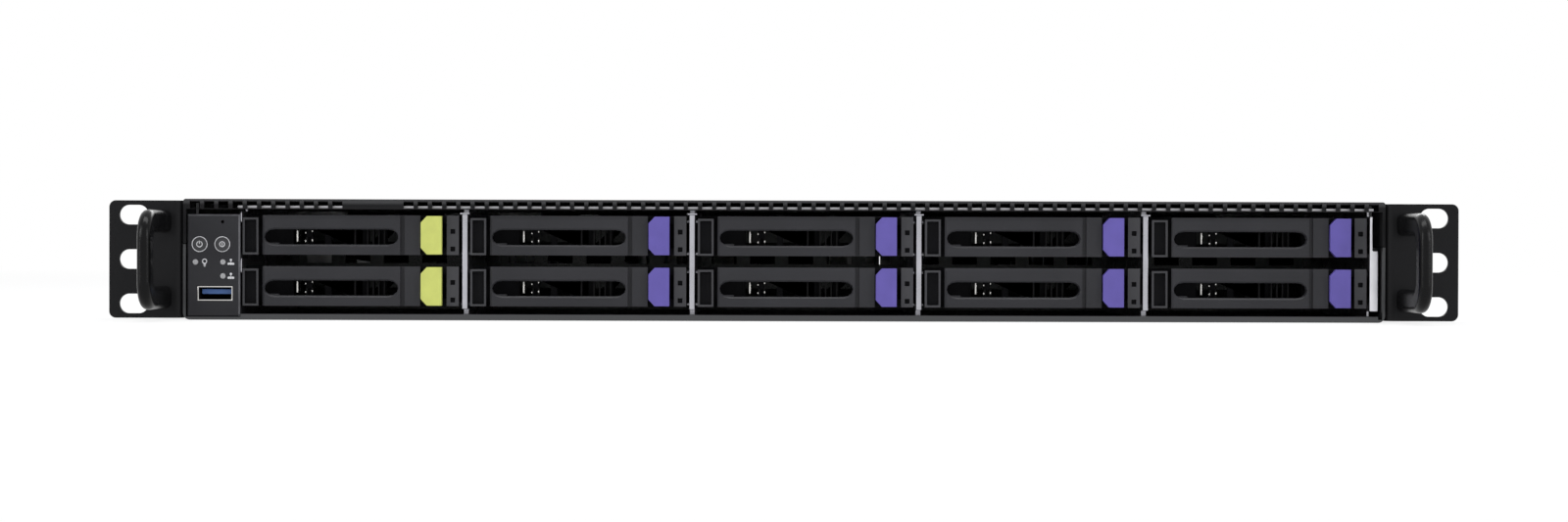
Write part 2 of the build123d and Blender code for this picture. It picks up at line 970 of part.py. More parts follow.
def make_control_panel():
    """The moulded panel at the left: bores for buttons and lights and the data port's cavity."""
    back = panel_y + panel_depth
    panel = block((panel_x, panel_x + panel_width), (panel_y, back), (sheet, panel_top))
    rim = panel.faces().sort_by(Axis.Y)[0].edges()
    panel = chamfer(rim, panel_edge)
    inner = panel_y + button_wall
    pocket = 2 * (button_flange_radius + fit_gap)
    pocket_end = inner + button_flange_depth + button_stem_length + button_travel + fit_gap
    for x in (power_button_x, service_button_x):
        panel -= rod_y(x, button_height, button_radius + running_gap, panel_y, inner)
        panel -= along_y(Pos(x, button_height) * Rectangle(pocket, pocket), inner, pocket_end)
    panel -= rod_y(pinhole_x, pinhole_z, pinhole_radius, panel_y, inner)
    plunger_end = inner + plunger_length + plunger_travel + 2 * fit_gap
    pocket = 2 * (plunger_radius + fit_gap)
    place = Pos(pinhole_x, pinhole_z)
    panel -= along_y(place * Rectangle(pocket, pocket), inner, plunger_end)
    for x, z in light_places:
        panel -= rod_y(x, z, light_radius + running_gap, panel_y, panel_y + light_length)
    half_x = port_width / 2 + running_gap
    half_z = port_height / 2 + running_gap
    port = block(
        (port_x - half_x, port_x + half_x),
        (panel_y, panel_y + port_depth + running_gap),
        (port_z - half_z, port_z + half_z),
    )
    return panel - port


def make_button(x):
    """One push button: a cap through the panel, a flange behind it and a short stem."""
    inner = panel_y + button_wall
    flange_y = inner + running_gap
    flange_end = flange_y + button_flange_depth
    cap = rod_y(x, button_height, button_radius, panel_y - button_proud, flange_y)
    place = Pos(x, button_height)
    flange = place * RegularPolygon(button_flange_radius, button_sides)
    stem = place * RegularPolygon(button_stem_radius, button_sides)
    stem_end = flange_end + button_stem_length
    return cap + along_y(flange, flange_y, flange_end) + along_y(stem, flange_end, stem_end)


def make_reset_button():
    """The plunger behind the pinhole."""
    low = panel_y + button_wall + fit_gap
    return rod_y(pinhole_x, pinhole_z, plunger_radius, low, low + plunger_length)


def make_indicator_lights():
    """The three round light pipes of the panel."""
    low = panel_y - light_proud
    lights = [rod_y(x, z, light_radius, low, low + light_length) for x, z in light_places]
    return Compound(children=lights)


def make_port_shell():
    """The metal shell of the data port, closed at the back."""
    half_x = port_width / 2
    half_z = port_height / 2
    back = panel_y + port_depth
    shell = block(
        (port_x - half_x, port_x + half_x),
        (panel_y, back),
        (port_z - half_z, port_z + half_z),
    )
    return shell - block(
        (port_x - half_x + port_wall, port_x + half_x - port_wall),
        (panel_y, back - port_wall),
        (port_z - half_z + port_wall, port_z + half_z - port_wall),
    )


def make_port_tongue():
    """The flat contact carrier inside the data port."""
    back = panel_y + port_depth - port_wall
    z = port_z + tongue_lift
    return block(
        (port_x - tongue_width / 2, port_x + tongue_width / 2),
        (back - tongue_reach - port_wall, back),
        (z - tongue_thickness / 2, z + tongue_thickness / 2),
    )


def make_drive_backplane():
    """The upright board behind the cage with its drive connectors and air slots."""
    left = cage_left_x - sheet
    right = cage_right_x + sheet
    y = (backplane_y, backplane_y + board_thickness)
    board = block((left, right), y, (sheet, backplane_top))
    slot_z = row_z(0) + tray_height + (row_pitch - tray_height) / 2
    pitch = tray_width / backplane_slot_count
    for column in range(column_count):
        middle = column_x(column) + tray_width / 2
        for row in range(row_count):
            low = row_z(row) + connector_lift
            board += block(
                (middle - connector_width / 2, middle + connector_width / 2),
                (backplane_y - connector_reach, backplane_y),
                (low, low + connector_height),
            )
        for number in range(backplane_slot_count):
            x = column_x(column) + (number + 0.5) * pitch
            slot = Pos(x, slot_z) * Rectangle(backplane_slot_width, backplane_slot_height)
            board -= along_y(slot, *y)
    return board


def make_fan_frame(number):
    """One square fan frame with its round duct, motor base and three struts."""
    low_y = face_y + fan_setback
    high_y = low_y + fan_depth
    middle_z = sheet + fan_size / 2
    square = Rectangle(fan_size, fan_size)
    ring = chamfer(square.vertices(), fan_corner) - RegularPolygon(fan_bore, fan_bore_sides)
    frame = along_y(Pos(fan_x(number), middle_z) * ring, low_y, high_y)
    base_y = (high_y - fan_base_depth, high_y)
    spokes = RegularPolygon(fan_base_radius, fan_base_sides)
    for step in range(fan_strut_count):
        strut = Pos(fan_bore / 2, 0) * Rectangle(fan_bore + fan_strut_sink, fan_strut_width)
        spokes += Rot(0, 0, step * 360 / fan_strut_count) * strut
    spokes -= Circle(rotor_shaft_radius + running_gap)
    return frame + along_y(Pos(fan_x(number), middle_z) * spokes, *base_y)


def make_fan_frames():
    return Compound(children=[make_fan_frame(number) for number in range(fan_count)])


def make_fan_rotor(number):
    """One fan rotor: a hub with slanted blades and a short shaft in the motor base."""
    hub_end = face_y + fan_setback + fan_depth - fan_base_depth - fit_gap
    hub_start = hub_end - rotor_hub_depth
    place = Pos(fan_x(number), 0, sheet + fan_size / 2)
    hub = along_y(RegularPolygon(rotor_hub_radius, rotor_hub_sides), hub_start, hub_end)
    shaft_end = hub_end + fit_gap + rotor_shaft_length
    rotor = hub + rod_y(0, 0, rotor_shaft_radius, hub_end, shaft_end)
    middle_y = (hub_start + hub_end) / 2
    root = blade_section(rotor_hub_radius - rotor_blade_thickness, rotor_root_chord, middle_y)
    half_sweep = rotor_tip_chord * math.cos(math.radians(rotor_pitch)) / 2
    tip_place = math.sqrt(rotor_tip_radius**2 - half_sweep**2)
    tip = blade_section(tip_place, rotor_tip_chord, middle_y)
    blade = loft([root, tip], ruled=True)
    for step in range(rotor_blade_count):
        rotor += Rot(0, step * 360 / rotor_blade_count, 0) * blade
    return place * rotor


def blade_section(radius, chord, y):
    """A thin slanted section of a fan blade, at a distance from the shaft."""
    flat = Rectangle(rotor_blade_thickness, chord)
    plane = Plane(origin=(0, y, radius), x_dir=(1, 0, 0), z_dir=(0, 0, 1))
    return plane * Rot(0, 0, 90 - rotor_pitch) * flat


def make_motherboard():
    """The main board: an L-shaped board with processor and memory sockets."""
    edge = wall_inner_x - board_margin
    front = face_y + board_front
    tail = face_y + board_tail_front
    back = rear_y - board_rear_gap
    inner = bay_left_x - board_margin
    plan = outline(
        [(-edge, front), (edge, front), (edge, tail), (inner, tail), (inner, back), (-edge, back)]
    )
    board = along_z(plan, board_z, board_top)
    for side in (-1, 1):
        x = side * heatsink_x
        y = face_y + heatsink_y
        half = socket_size / 2
        board += block((x - half, x + half), (y - half, y + half), (board_top, socket_top()))
    for x, y in module_places():
        half_x = module_socket_width / 2
        half_y = module_length / 2 + module_socket_width
        sides = (x - half_x, x + half_x)
        board += block(sides, (y - half_y, y + half_y), (board_top, module_seat()))
    return board


def socket_top():
    return board_top + socket_height


def module_seat():
    return board_top + module_socket_height


def module_places():
    """Centres of the memory modules, in two banks beside each processor."""
    y = face_y + heatsink_y
    first = heatsink_width / 2 + module_clear
    offsets = [first + number * module_pitch for number in range(modules_per_side)]
    places = []
    for middle in (-heatsink_x, heatsink_x):
        for side in (-1, 1):
            places += [(middle + side * offset, y) for offset in offsets]
    return places


def make_processor_heatsinks():
    """Two finned heat sinks, each a base plate with upright fins."""
    sinks = []
    for middle in (-heatsink_x, heatsink_x):
        y = face_y + heatsink_y
        low = socket_top()
        sides = (middle - heatsink_width / 2, middle + heatsink_width / 2)
        ends = (y - heatsink_length / 2, y + heatsink_length / 2)
        sink = block(sides, ends, (low, low + heatsink_base))
        pitch = (heatsink_width - fin_thickness) / (fin_count - 1)
        for number in range(fin_count):
            x = sides[0] + number * pitch
            sink += block((x, x + fin_thickness), ends, (low, low + heatsink_height))
        sinks.append(sink)
    return Compound(children=sinks)


def make_memory_modules():
    """The memory modules, thin boards that stand in their sockets."""
    modules = []
    for x, y in module_places():
        sides = (x - module_thickness / 2, x + module_thickness / 2)
        ends = (y - module_length / 2, y + module_length / 2)
        low = module_seat()
        top = low + module_height - module_socket_height
        modules.append(block(sides, ends, (low, top)))
    return Compound(children=modules)


def make_power_supply(middle):
    """One power supply: a case with inlet, air slots, release tab and pull handle."""
    half = supply_width / 2
    top = supply_z + supply_height
    front = rear_y - supply_length
    case = block((middle - half, middle + half), (front, rear_y), (supply_z, top))
    inlet = RectangleRounded(inlet_width, inlet_height, inlet_corner)
    inlet_middle = (middle + inlet_x, supply_z + inlet_z)
    case -= along_y(Pos(*inlet_middle) * inlet, rear_y - inlet_depth, rear_y)
    for x, z in ((-inlet_pin_spread, 0), (0, inlet_pin_rise), (inlet_pin_spread, 0)):
        pin = Pos(inlet_middle[0] + x, inlet_middle[1] + z)
        pin = pin * Rectangle(inlet_pin_width, inlet_pin_height)
        low = rear_y - inlet_depth
        case += along_y(pin, low, low + inlet_pin_length)
    case -= supply_vents(middle)
    tab = Pos(middle + tab_x, supply_z + tab_z) * Rectangle(tab_width, tab_height)
    case += along_y(tab, rear_y, rear_y + tab_reach)
    return case + supply_handle(middle)


def supply_vents(middle):
    """A round patch of upright air slots."""
    pitch = 2 * supply_vent_radius / supply_vent_count
    slots = Sketch()
    for number in range(supply_vent_count):
        x = (number - (supply_vent_count - 1) / 2) * pitch
        slots += Pos(x, 0) * Rectangle(pitch - supply_vent_gap, 2 * supply_vent_radius)
    slots = slots & Circle(supply_vent_radius)
    place = Pos(middle + supply_vent_x, supply_z + supply_height / 2)
    return along_y(place * slots, rear_y - supply_vent_depth, rear_y)


def supply_handle(middle):
    """The square loop that a hand pulls a supply out by."""
    z = supply_z + supply_height / 2
    half = supply_handle_height / 2
    wall = supply_handle_wall
    outer = Pos(rear_y + supply_handle_reach / 2, z) * Rectangle(supply_handle_reach, 2 * half)
    far = outer.vertices().filter_by(lambda v: v.X > rear_y + supply_handle_reach / 2)
    outer = fillet(far, supply_handle_corner)
    inner_reach = supply_handle_reach - wall
    inner = Pos(rear_y + inner_reach / 2, z) * Rectangle(inner_reach, 2 * (half - wall))
    far = inner.vertices().filter_by(lambda v: v.X > rear_y + inner_reach / 2)
    inner = fillet(far, supply_handle_corner - wall)
    low = middle + supply_handle_x - supply_handle_width / 2
    return along_x(outer - inner, low, low + supply_handle_width)


def make_rear_sockets():
    """The sockets on the main board that reach through the rear wall."""
    sockets = [network_socket(network_centre(number)) for number in range(network_count)]
    sockets.append(data_socket())
    sockets.append(video_socket())
    return Compound(children=sockets)


def network_socket(x):
    """A metal network socket with its square opening."""
    back = rear_y + socket_proud
    half = network_width / 2
    top = board_top + network_height
    case = block((x - half, x + half), (back - network_depth, back), (board_top, top))
    half = network_opening_width / 2
    low = board_top + (network_height - network_opening_height) / 2
    return case - block(
        (x - half, x + half),
        (back - network_opening_depth, back),
        (low, low + network_opening_height),
    )


def data_socket():
    """A double data port, one opening above the other, each with its contact tongue."""
    back = rear_y + socket_proud
    half = data_width / 2
    top = board_top + data_height
    case = block((data_x - half, data_x + half), (back - network_depth, back), (board_top, top))
    for side in (-0.5, 0.5):
        z = board_top + data_height / 2 + side * data_opening_pitch
        half_x = data_opening_width / 2
        half_z = data_opening_height / 2
        start = back - data_opening_depth
        case -= block((data_x - half_x, data_x + half_x), (start, back), (z - half_z, z + half_z))
        half_x = tongue_width / 2
        half_z = tongue_thickness / 2
        end = start + tongue_reach
        case += block((data_x - half_x, data_x + half_x), (start, end), (z - half_z, z + half_z))
    return case


def video_socket():
    """A video socket: a flange block with a slant-sided plug shroud."""
    back = rear_y + socket_proud
    half = video_width / 2
    top = board_top + video_height
    case = block((video_x - half, video_x + half), (back - video_depth, back), (board_top, top))
    middle = board_top + video_height / 2
    shape = Trapezoid(video_plug_width, video_plug_height, 90 - video_plug_slope)
    shroud = along_y(Pos(video_x, middle) * shape, back, back + video_plug_reach)
    return case + shroud


def build():
    """Every node's name and its shape."""
    ear = make_ear()
    handle = make_handle()
    nodes = {
        "chassis_base": make_chassis_base(),
        "drive_cage": make_drive_cage(),
        "front_cover": make_front_cover(),
        "top_cover": make_top_cover(),
        "cover_screw": make_cover_screw(),
        "ear_right": ear,
        "ear_left": mirror(ear, about=Plane.YZ),
        "handle_right": handle,
        "handle_left": mirror(handle, about=Plane.YZ),
        "bracket_screws": make_bracket_screws(),
        "control_panel": make_control_panel(),
        "power_button": make_button(power_button_x),
        "service_button": make_button(service_button_x),
        "reset_button": make_reset_button(),
        "indicator_lights": make_indicator_lights(),
        "port_shell": make_port_shell(),
        "port_tongue": make_port_tongue(),
        "drive_backplane": make_drive_backplane(),
        "fan_frames": make_fan_frames(),
        "motherboard": make_motherboard(),
        "processor_heatsinks": make_processor_heatsinks(),
        "memory_modules": make_memory_modules(),
        "rear_sockets": make_rear_sockets(),
    }
    for number in range(fan_count):
        nodes[f"fan_rotor_{number + 1}"] = make_fan_rotor(number)
    for number, middle in enumerate(supply_centres):
        nodes[f"power_supply_{number + 1}"] = make_power_supply(middle)
    tray = make_tray()
    lever = make_lever()
    latch = make_latch()
    for row in range(row_count):
        for column in range(column_count):
            place = Pos(column_x(column), tray_y, row_z(row))
            number = (row_count - 1 - row) * column_count + column + 1
            nodes[f"tray_{number}"] = place * tray
            nodes[f"lever_{number}"] = place * lever
            nodes[f"latch_{number}"] = place * latch
    return nodes


os.makedirs("parts", exist_ok=True)
for name, shape in build().items():
    export_step(shape, f"parts/{name}.step")
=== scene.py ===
import json
import math

import bmesh
import bpy
from bpy.props import FloatProperty, FloatVectorProperty, IntProperty, PointerProperty
from mathutils import Matrix, Vector

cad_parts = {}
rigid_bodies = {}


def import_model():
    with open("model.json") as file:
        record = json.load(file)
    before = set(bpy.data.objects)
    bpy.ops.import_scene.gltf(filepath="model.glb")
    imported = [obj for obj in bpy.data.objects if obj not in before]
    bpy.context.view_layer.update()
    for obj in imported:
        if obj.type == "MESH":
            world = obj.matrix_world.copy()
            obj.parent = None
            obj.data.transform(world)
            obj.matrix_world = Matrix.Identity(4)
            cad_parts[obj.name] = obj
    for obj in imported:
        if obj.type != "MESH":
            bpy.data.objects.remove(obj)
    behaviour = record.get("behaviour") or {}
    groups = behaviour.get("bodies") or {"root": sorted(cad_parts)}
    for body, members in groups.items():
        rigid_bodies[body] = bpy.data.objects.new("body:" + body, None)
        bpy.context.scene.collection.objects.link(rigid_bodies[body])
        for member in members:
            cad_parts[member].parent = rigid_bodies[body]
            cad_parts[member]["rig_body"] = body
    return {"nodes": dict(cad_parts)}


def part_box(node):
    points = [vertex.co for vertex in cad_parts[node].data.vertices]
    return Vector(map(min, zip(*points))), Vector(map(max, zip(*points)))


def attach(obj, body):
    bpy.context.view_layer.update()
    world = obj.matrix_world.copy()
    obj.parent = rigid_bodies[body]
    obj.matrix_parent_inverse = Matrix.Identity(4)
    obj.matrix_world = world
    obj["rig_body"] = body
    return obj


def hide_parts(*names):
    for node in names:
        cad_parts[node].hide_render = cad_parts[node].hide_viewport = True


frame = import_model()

bl_info = {
    "name": "Rack server dressing",
    "version": (1, 0, 0),
    "blender": (4, 5, 0),
    "location": "3D View > Sidebar > Rack server",
    "description": "Dresses the frame of a one-unit rack server and sets up its studio",
    "category": "Object",
}

MM = 0.001
TRAYS = range(1, 11)
FIRST_COLUMN = (1, 6)
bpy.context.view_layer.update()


def colour(name, description, red, green, blue):
    return FloatVectorProperty(
        name=name, description=description, default=(red, green, blue),
        size=3, min=0.0, max=1.0, subtype="COLOR",
    )


def length(name, description, millimetres):
    return FloatProperty(
        name=name, description=description, default=millimetres * MM,
        min=0.0, unit="LENGTH", subtype="DISTANCE",
    )


class RackServerColours(bpy.types.PropertyGroup):
    """Colours of the server's finishes, in linear light."""

    coat: colour("Powder coat", "Fine black coat of ears and front cover", 0.010, 0.010, 0.0108)
    handle: colour("Handles", "Semi-gloss black of the two pull handles", 0.0025, 0.0025, 0.0028)
    zinc: colour("Bright zinc", "Plated sheet of the drive cage", 0.44, 0.44, 0.475)
    pan: colour("Plated pan", "Plated sheet of the pan and the rear cover", 0.25, 0.255, 0.265)
    panel: colour("Control panel", "Satin black of the control panel", 0.028, 0.028, 0.031)
    tray: colour("Tray plastic", "Black plastic of the trays and fans", 0.0045, 0.0045, 0.005)
    lever: colour("Lever plastic", "Dark grey plastic of the levers", 0.0255, 0.0255, 0.0288)
    green: colour("Green latch", "Yellow-green plastic of the first column", 0.49, 0.525, 0.132)
    violet: colour("Violet latch", "Blue-violet plastic of the other latches", 0.100, 0.078, 0.32)
    port: colour("Port tongue", "Blue plastic in the front data port", 0.085, 0.19, 0.50)
    board: colour("Circuit board", "Green solder resist", 0.012, 0.085, 0.045)
    print: colour("Panel marks", "Pale print of the plain signs on the panel", 0.62, 0.62, 0.64)


class RackServerSizes(bpy.types.PropertyGroup):
    """Sizes of the finer detail."""

    edge: length("Moulded edge", "Radius on the edges of moulded pieces", 0.22)
    sheet_edge: length("Sheet edge", "Radius on the edges of sheet metal", 0.18)
    bend: length("Bend radius", "Outer radius of the bends of the front cover", 0.9)
    handle_round: length("Handle rounding", "Radius along the rims of the handles", 2.3)
    print_height: length("Print height", "How far the panel marks stand out", 0.03)
    bead_depth: length("Bead depth", "Depth of the pressed beads in the rear cover", 0.6)
    handle_steps: IntProperty(
        name="Handle steps", description="Steps round each corner of a handle", default=10,
        min=4, max=24,
    )


def sizes():
    return bpy.context.scene.rack_server_sizes


def colours():
    return bpy.context.scene.rack_server_colours


# Modelling helpers


def only(piece):
    """Makes one piece the only one selected, and active."""
    if bpy.context.object and bpy.context.object.mode != "OBJECT":
        bpy.ops.object.mode_set(mode="OBJECT")
    bpy.ops.object.select_all(action="DESELECT")
    piece.select_set(True)
    bpy.context.view_layer.objects.active = piece


def none():
    """Leaves nothing selected."""
    if bpy.context.object and bpy.context.object.mode != "OBJECT":
        bpy.ops.object.mode_set(mode="OBJECT")
    bpy.ops.object.select_all(action="DESELECT")


def box_of(node):
    """A node's low and high corners in millimetres."""
    low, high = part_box(node)
    return low / MM, high / MM


def about(middle, half):
    """A low and a high place at the same distance from a middle."""
    return middle - half, middle + half


def at(value, place):
    """Whether a value, in millimetres, is at a place."""
    return abs(value - place) < 0.05


def along(share):
    """Whether a direction's share on one axis makes it run along that axis."""
    return abs(share) > 0.9


def block(name, x, y, z):
    """A box between low and high places on each axis, in millimetres."""
    none()
    low = Vector((x[0], y[0], z[0])) * MM
    high = Vector((x[1], y[1], z[1])) * MM
    bpy.ops.mesh.primitive_cube_add(size=1, location=(low + high) / 2)
    piece = bpy.context.active_object
    piece.name = name
    piece.scale = high - low
    bpy.ops.object.transform_apply(location=True, rotation=True, scale=True)
    return piece


def rod(name, centre, radius, depth, axis="Y", sides=32, top=None):
    """A round rod or cone on an axis through its middle, in millimetres."""
    none()
    turn = {"X": (0, math.pi / 2, 0), "Y": (math.pi / 2, 0, 0), "Z": (0, 0, 0)}[axis]
    bpy.ops.mesh.primitive_cone_add(
        vertices=sides, radius1=radius * MM, radius2=(radius if top is None else top) * MM,
        depth=depth * MM, location=Vector(centre) * MM, rotation=turn,
    )
    piece = bpy.context.active_object
    piece.name = name
    bpy.ops.object.transform_apply(location=True, rotation=True, scale=True)
    return piece


def ring(name, centre, radius, thickness):
    """A round wire ring that faces the front, in millimetres."""
    none()
    bpy.ops.mesh.primitive_torus_add(
        major_radius=radius * MM, minor_radius=thickness * MM, major_segments=40,
        minor_segments=10, location=Vector(centre) * MM, rotation=(math.pi / 2, 0, 0),
    )
    piece = bpy.context.active_object
    piece.name = name
    bpy.ops.object.transform_apply(location=True, rotation=True, scale=True)
    return piece


def flat_ring(name, centre, inner, outer, depth, sides=48):
    """A flat ring that faces the front, in millimetres."""
    disc = rod(name, centre, outer, depth, "Y", sides)
    return cut(disc, rod("hole", centre, inner, depth * 3, "Y", sides))


def choose(piece, kind, test):
    """Selects, in edit mode, the faces, edges or corners whose place and direction pass a test."""
    only(piece)
    bpy.ops.object.mode_set(mode="EDIT")
    bpy.ops.mesh.select_mode(type=kind)
    bpy.ops.mesh.select_all(action="DESELECT")
    mesh = bmesh.from_edit_mesh(piece.data)
    if kind == "FACE":
        for face in mesh.faces:
            face.select_set(test(face.calc_center_median() / MM, face.normal))
    elif kind == "EDGE":
        for edge in mesh.edges:
            start, end = (v.co / MM for v in edge.verts)
            edge.select_set(test((start + end) / 2, (end - start).normalized()))
    else:
        for vert in mesh.verts:
            vert.select_set(test(vert.co / MM, vert.normal))
    mesh.select_flush_mode()
    bmesh.update_edit_mesh(piece.data)


def leave():
    """Goes back to object mode."""
    bpy.ops.object.mode_set(mode="OBJECT")


def round_edges(piece, test, width, segments=3):
    """Rounds the chosen edges."""
    choose(piece, "EDGE", test)
    bpy.ops.mesh.bevel(offset=width * MM, segments=segments, affect="EDGES", clamp_overlap=True)
    leave()


def shift(piece, kind, test, move):
    """Moves the chosen faces, edges or corners."""
    choose(piece, kind, test)
    bpy.ops.transform.translate(value=Vector(move) * MM)
    leave()


def pull(piece, test, move):
    """Draws new walls out of the chosen faces."""
    choose(piece, "FACE", test)
    bpy.ops.mesh.extrude_region_move(TRANSFORM_OT_translate={"value": Vector(move) * MM})
    leave()


def modify(piece, kind, **values):
    """Adds a modifier with its values and applies it."""
    only(piece)
    modifier = piece.modifiers.new(kind.title(), kind)
    for name, value in values.items():
        setattr(modifier, name, value)
    bpy.ops.object.modifier_apply(modifier=modifier.name)
    return piece


def soften(piece, width, segments=2, angle=35):
    """Rounds every edge that is sharper than an angle."""
    return modify(
        piece, "BEVEL", width=width * MM, segments=segments, limit_method="ANGLE",
        angle_limit=math.radians(angle), use_clamp_overlap=True, miter_outer="MITER_ARC",
        harden_normals=False,
    )


def cut(piece, *cutters):
    """Takes the cutters out of a piece, and removes them."""
    for cutter in cutters:
        modify(piece, "BOOLEAN", object=cutter, operation="DIFFERENCE", solver="EXACT")
        bpy.data.objects.remove(cutter)
    return piece


def join(name, parts):
    """Makes one piece of several."""
    only(parts[0])
    for part in parts[1:]:
        part.select_set(True)
    if len(parts) > 1:
        bpy.ops.object.join()
    piece = bpy.context.active_object
    piece.name = name
    return piece


def repeat(piece, name, move=(0.0, 0.0, 0.0)):
    """A copy with a mesh of its own, moved by millimetres."""
    copy = bpy.data.objects.new(name, piece.data.copy())
    copy.data.transform(Matrix.Translation(Vector(move) * MM))
    bpy.context.scene.collection.objects.link(copy)
    return copy


def copies(first, node):
    """The first tray's piece and a copy at each other tray, with the trays' numbers."""
    corner = box_of(node + "_1")[0]
    for number in TRAYS:
        move = box_of(f"{node}_{number}")[0] - corner
        yield number, first if number == 1 else repeat(first, f"{node}_{number}_shown", move)


def mirrored(piece, name):
    """A copy mirrored across the middle plane, with its faces turned outwards again."""
    copy = repeat(piece, name)
    copy.data.transform(Matrix.Scale(-1, 4, (1, 0, 0)))
    only(copy)
    bpy.ops.object.mode_set(mode="EDIT")
    bpy.ops.mesh.select_all(action="SELECT")
    bpy.ops.mesh.normals_make_consistent(inside=False)
    leave()
    return copy


def dress(piece, body, slot, material, stands_for=(), angle=32):
    """Gives a finished piece its shading, finish and body; the slot argument is not used."""
    only(piece)
    piece.data.materials.clear()
    piece.data.materials.append(material)
    bpy.ops.object.shade_smooth_by_angle(angle=math.radians(angle))
    modify(piece, "WEIGHTED_NORMAL", keep_sharp=True)
    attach(piece, body)
    if stands_for:
        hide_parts(*stands_for)
    return piece


def tint(piece, material, test):
    """Gives the faces whose middle and direction pass a test another finish."""
    piece.data.materials.append(material)
    place = len(piece.data.materials) - 1
    for face in piece.data.polygons:
        if test(face.center / MM, face.normal):
            face.material_index = place


def body_of(node):
    """The body that a frame node rides."""
    return frame["nodes"][node]["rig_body"]


def solid_copy(node, name):
    """A merged copy of a frame node's mesh, with its flat faces joined up."""
    mesh = frame["nodes"][node].data.copy()
    piece = bpy.data.objects.new(name, mesh)
    bpy.context.scene.collection.objects.link(piece)
    only(piece)
    bpy.ops.mesh.customdata_custom_splitnormals_clear()
    bpy.ops.object.mode_set(mode="EDIT")
    bpy.ops.mesh.select_all(action="SELECT")
    bpy.ops.mesh.remove_doubles(threshold=0.000002)
    bpy.ops.mesh.dissolve_limited(angle_limit=math.radians(0.5))
    leave()
    return piece


def rounded_node(node, slot, material, width, segments=2, angle=35):
    """A frame node shown with small radii on its sharp edges."""
    piece = soften(solid_copy(node, node + "_shown"), width, segments, angle)
    return dress(piece, body_of(node), slot, material, (node,))


def coat_node(node, material):
    """Keeps a frame node as it is and gives it a better material."""
    target = frame["nodes"][node]
    for place in target.material_slots:
        place.material = material
    return target


# Finishes


def noise(tree, scale, detail=4.0, roughness=0.55):
    """An uneven pattern fixed to the piece."""
    place = tree.nodes.new("ShaderNodeTexCoord")
    pattern = tree.nodes.new("ShaderNodeTexNoise")
    pattern.inputs["Scale"].default_value = scale
    pattern.inputs["Detail"].default_value = detail
    pattern.inputs["Roughness"].default_value = roughness
    tree.links.new(place.outputs["Object"], pattern.inputs["Vector"])
    return pattern.outputs["Fac"]


def ranged(tree, factor, low, high):
    """A pattern's middle range stretched between two values."""
    remap = tree.nodes.new("ShaderNodeMapRange")
    remap.inputs["From Min"].default_value = 0.3
    remap.inputs["From Max"].default_value = 0.7
    remap.inputs["To Min"].default_value = low
    remap.inputs["To Max"].default_value = high
    tree.links.new(factor, remap.inputs["Value"])
    return remap.outputs["Result"]


def shades(tree, factor, first, second):
    """A colour between two colours."""
    mix = tree.nodes.new("ShaderNodeMix")
    mix.data_type = "RGBA"
    mix.inputs[6].default_value = (*first, 1)
    mix.inputs[7].default_value = (*second, 1)
    tree.links.new(factor, mix.inputs[0])
    return mix.outputs[2]


def made(name):
    """The finish of that name, where an earlier piece has it."""
    return bpy.data.materials.get(name + "_finish")


def surface(
    name, tone, rough, metal=0.0, specular=0.5, grain=0.5, relief=0.1, vary=0.1, spread=0.05,
    patch=22.0, coat=0.0, coat_rough=0.2,
):
    """A finish: fine grain in its relief, and slow changes of shade and gloss.

    grain is the size of the grain in millimetres, patch how many slow changes a metre holds.
    """
    if made(name):
        return made(name)
    material = bpy.data.materials.new(name + "_finish")
    material.use_nodes = True
    tree = material.node_tree
    shader = tree.nodes["Principled BSDF"]
    shader.inputs["Metallic"].default_value = metal
    shader.inputs["Specular IOR Level"].default_value = specular
    if coat:
        shader.inputs["Coat Weight"].default_value = coat
        shader.inputs["Coat Roughness"].default_value = coat_rough
    slow = noise(tree, patch, 5.0)
    fine = noise(tree, 1000.0 / grain, 3.0, 0.6)
    low = tuple(share * (1 - vary) for share in tone)
    high = tuple(min(1.0, share * (1 + vary)) for share in tone)
    tree.links.new(shades(tree, ranged(tree, slow, 0, 1), low, high), shader.inputs["Base Color"])
    gloss = tree.nodes.new("ShaderNodeMath")
    gloss.operation = "ADD"
    tree.links.new(ranged(tree, slow, rough - spread, rough + spread), gloss.inputs[0])
    tree.links.new(ranged(tree, fine, -spread / 2, spread / 2), gloss.inputs[1])
    tree.links.new(gloss.outputs[0], shader.inputs["Roughness"])
    bump = tree.nodes.new("ShaderNodeBump")
    bump.inputs["Strength"].default_value = relief
    bump.inputs["Distance"].default_value = grain * MM * 0.3
    tree.links.new(fine, bump.inputs["Height"])
    tree.links.new(bump.outputs["Normal"], shader.inputs["Normal"])
    return material


def graded(name, axis, start, end, first, second, rough, **finish):
    """A finish whose tone changes along one axis between two places, in millimetres."""
    if made(name):
        return made(name)
    material = surface(name, second, rough, **finish)
    tree = material.node_tree
    place = tree.nodes.new("ShaderNodeTexCoord")
    parts = tree.nodes.new("ShaderNodeSeparateXYZ")
    near = tree.nodes.new("ShaderNodeMapRange")
    near.inputs["From Min"].default_value = start * MM
    near.inputs["From Max"].default_value = end * MM
    tree.links.new(place.outputs["Object"], parts.inputs[0])
    tree.links.new(parts.outputs[axis], near.inputs["Value"])
    blend = shades(tree, near.outputs["Result"], first, second)
    tree.links.new(blend, tree.nodes["Principled BSDF"].inputs["Base Color"])
    return material


def powder_coat():
    return surface("powder_coat", colours().coat, 0.5, specular=0.08, grain=0.45, relief=0.35)


def lip_coat(high):
    """The coat of the lip, with a painted highlight: paler between the upper ends of its holes,
    where the bend would catch the light.
    """
    return graded(
        "lip_coat", "Z", high - 2.1, high - 1.1, tuple(colours().coat), (0.045, 0.045, 0.047),
        0.5, specular=0.08, grain=0.45, relief=0.35,
    )


def handle_black():
    return surface(
        "handle_black", colours().handle, 0.22, specular=0.13, grain=0.9, relief=0.08, spread=0.06,
    )


def pan_plate():
    return surface(
        "pan_plate", colours().pan, 0.56, metal=1.0, grain=0.6, relief=0.08, vary=0.04,
        spread=0.03, patch=240,
    )


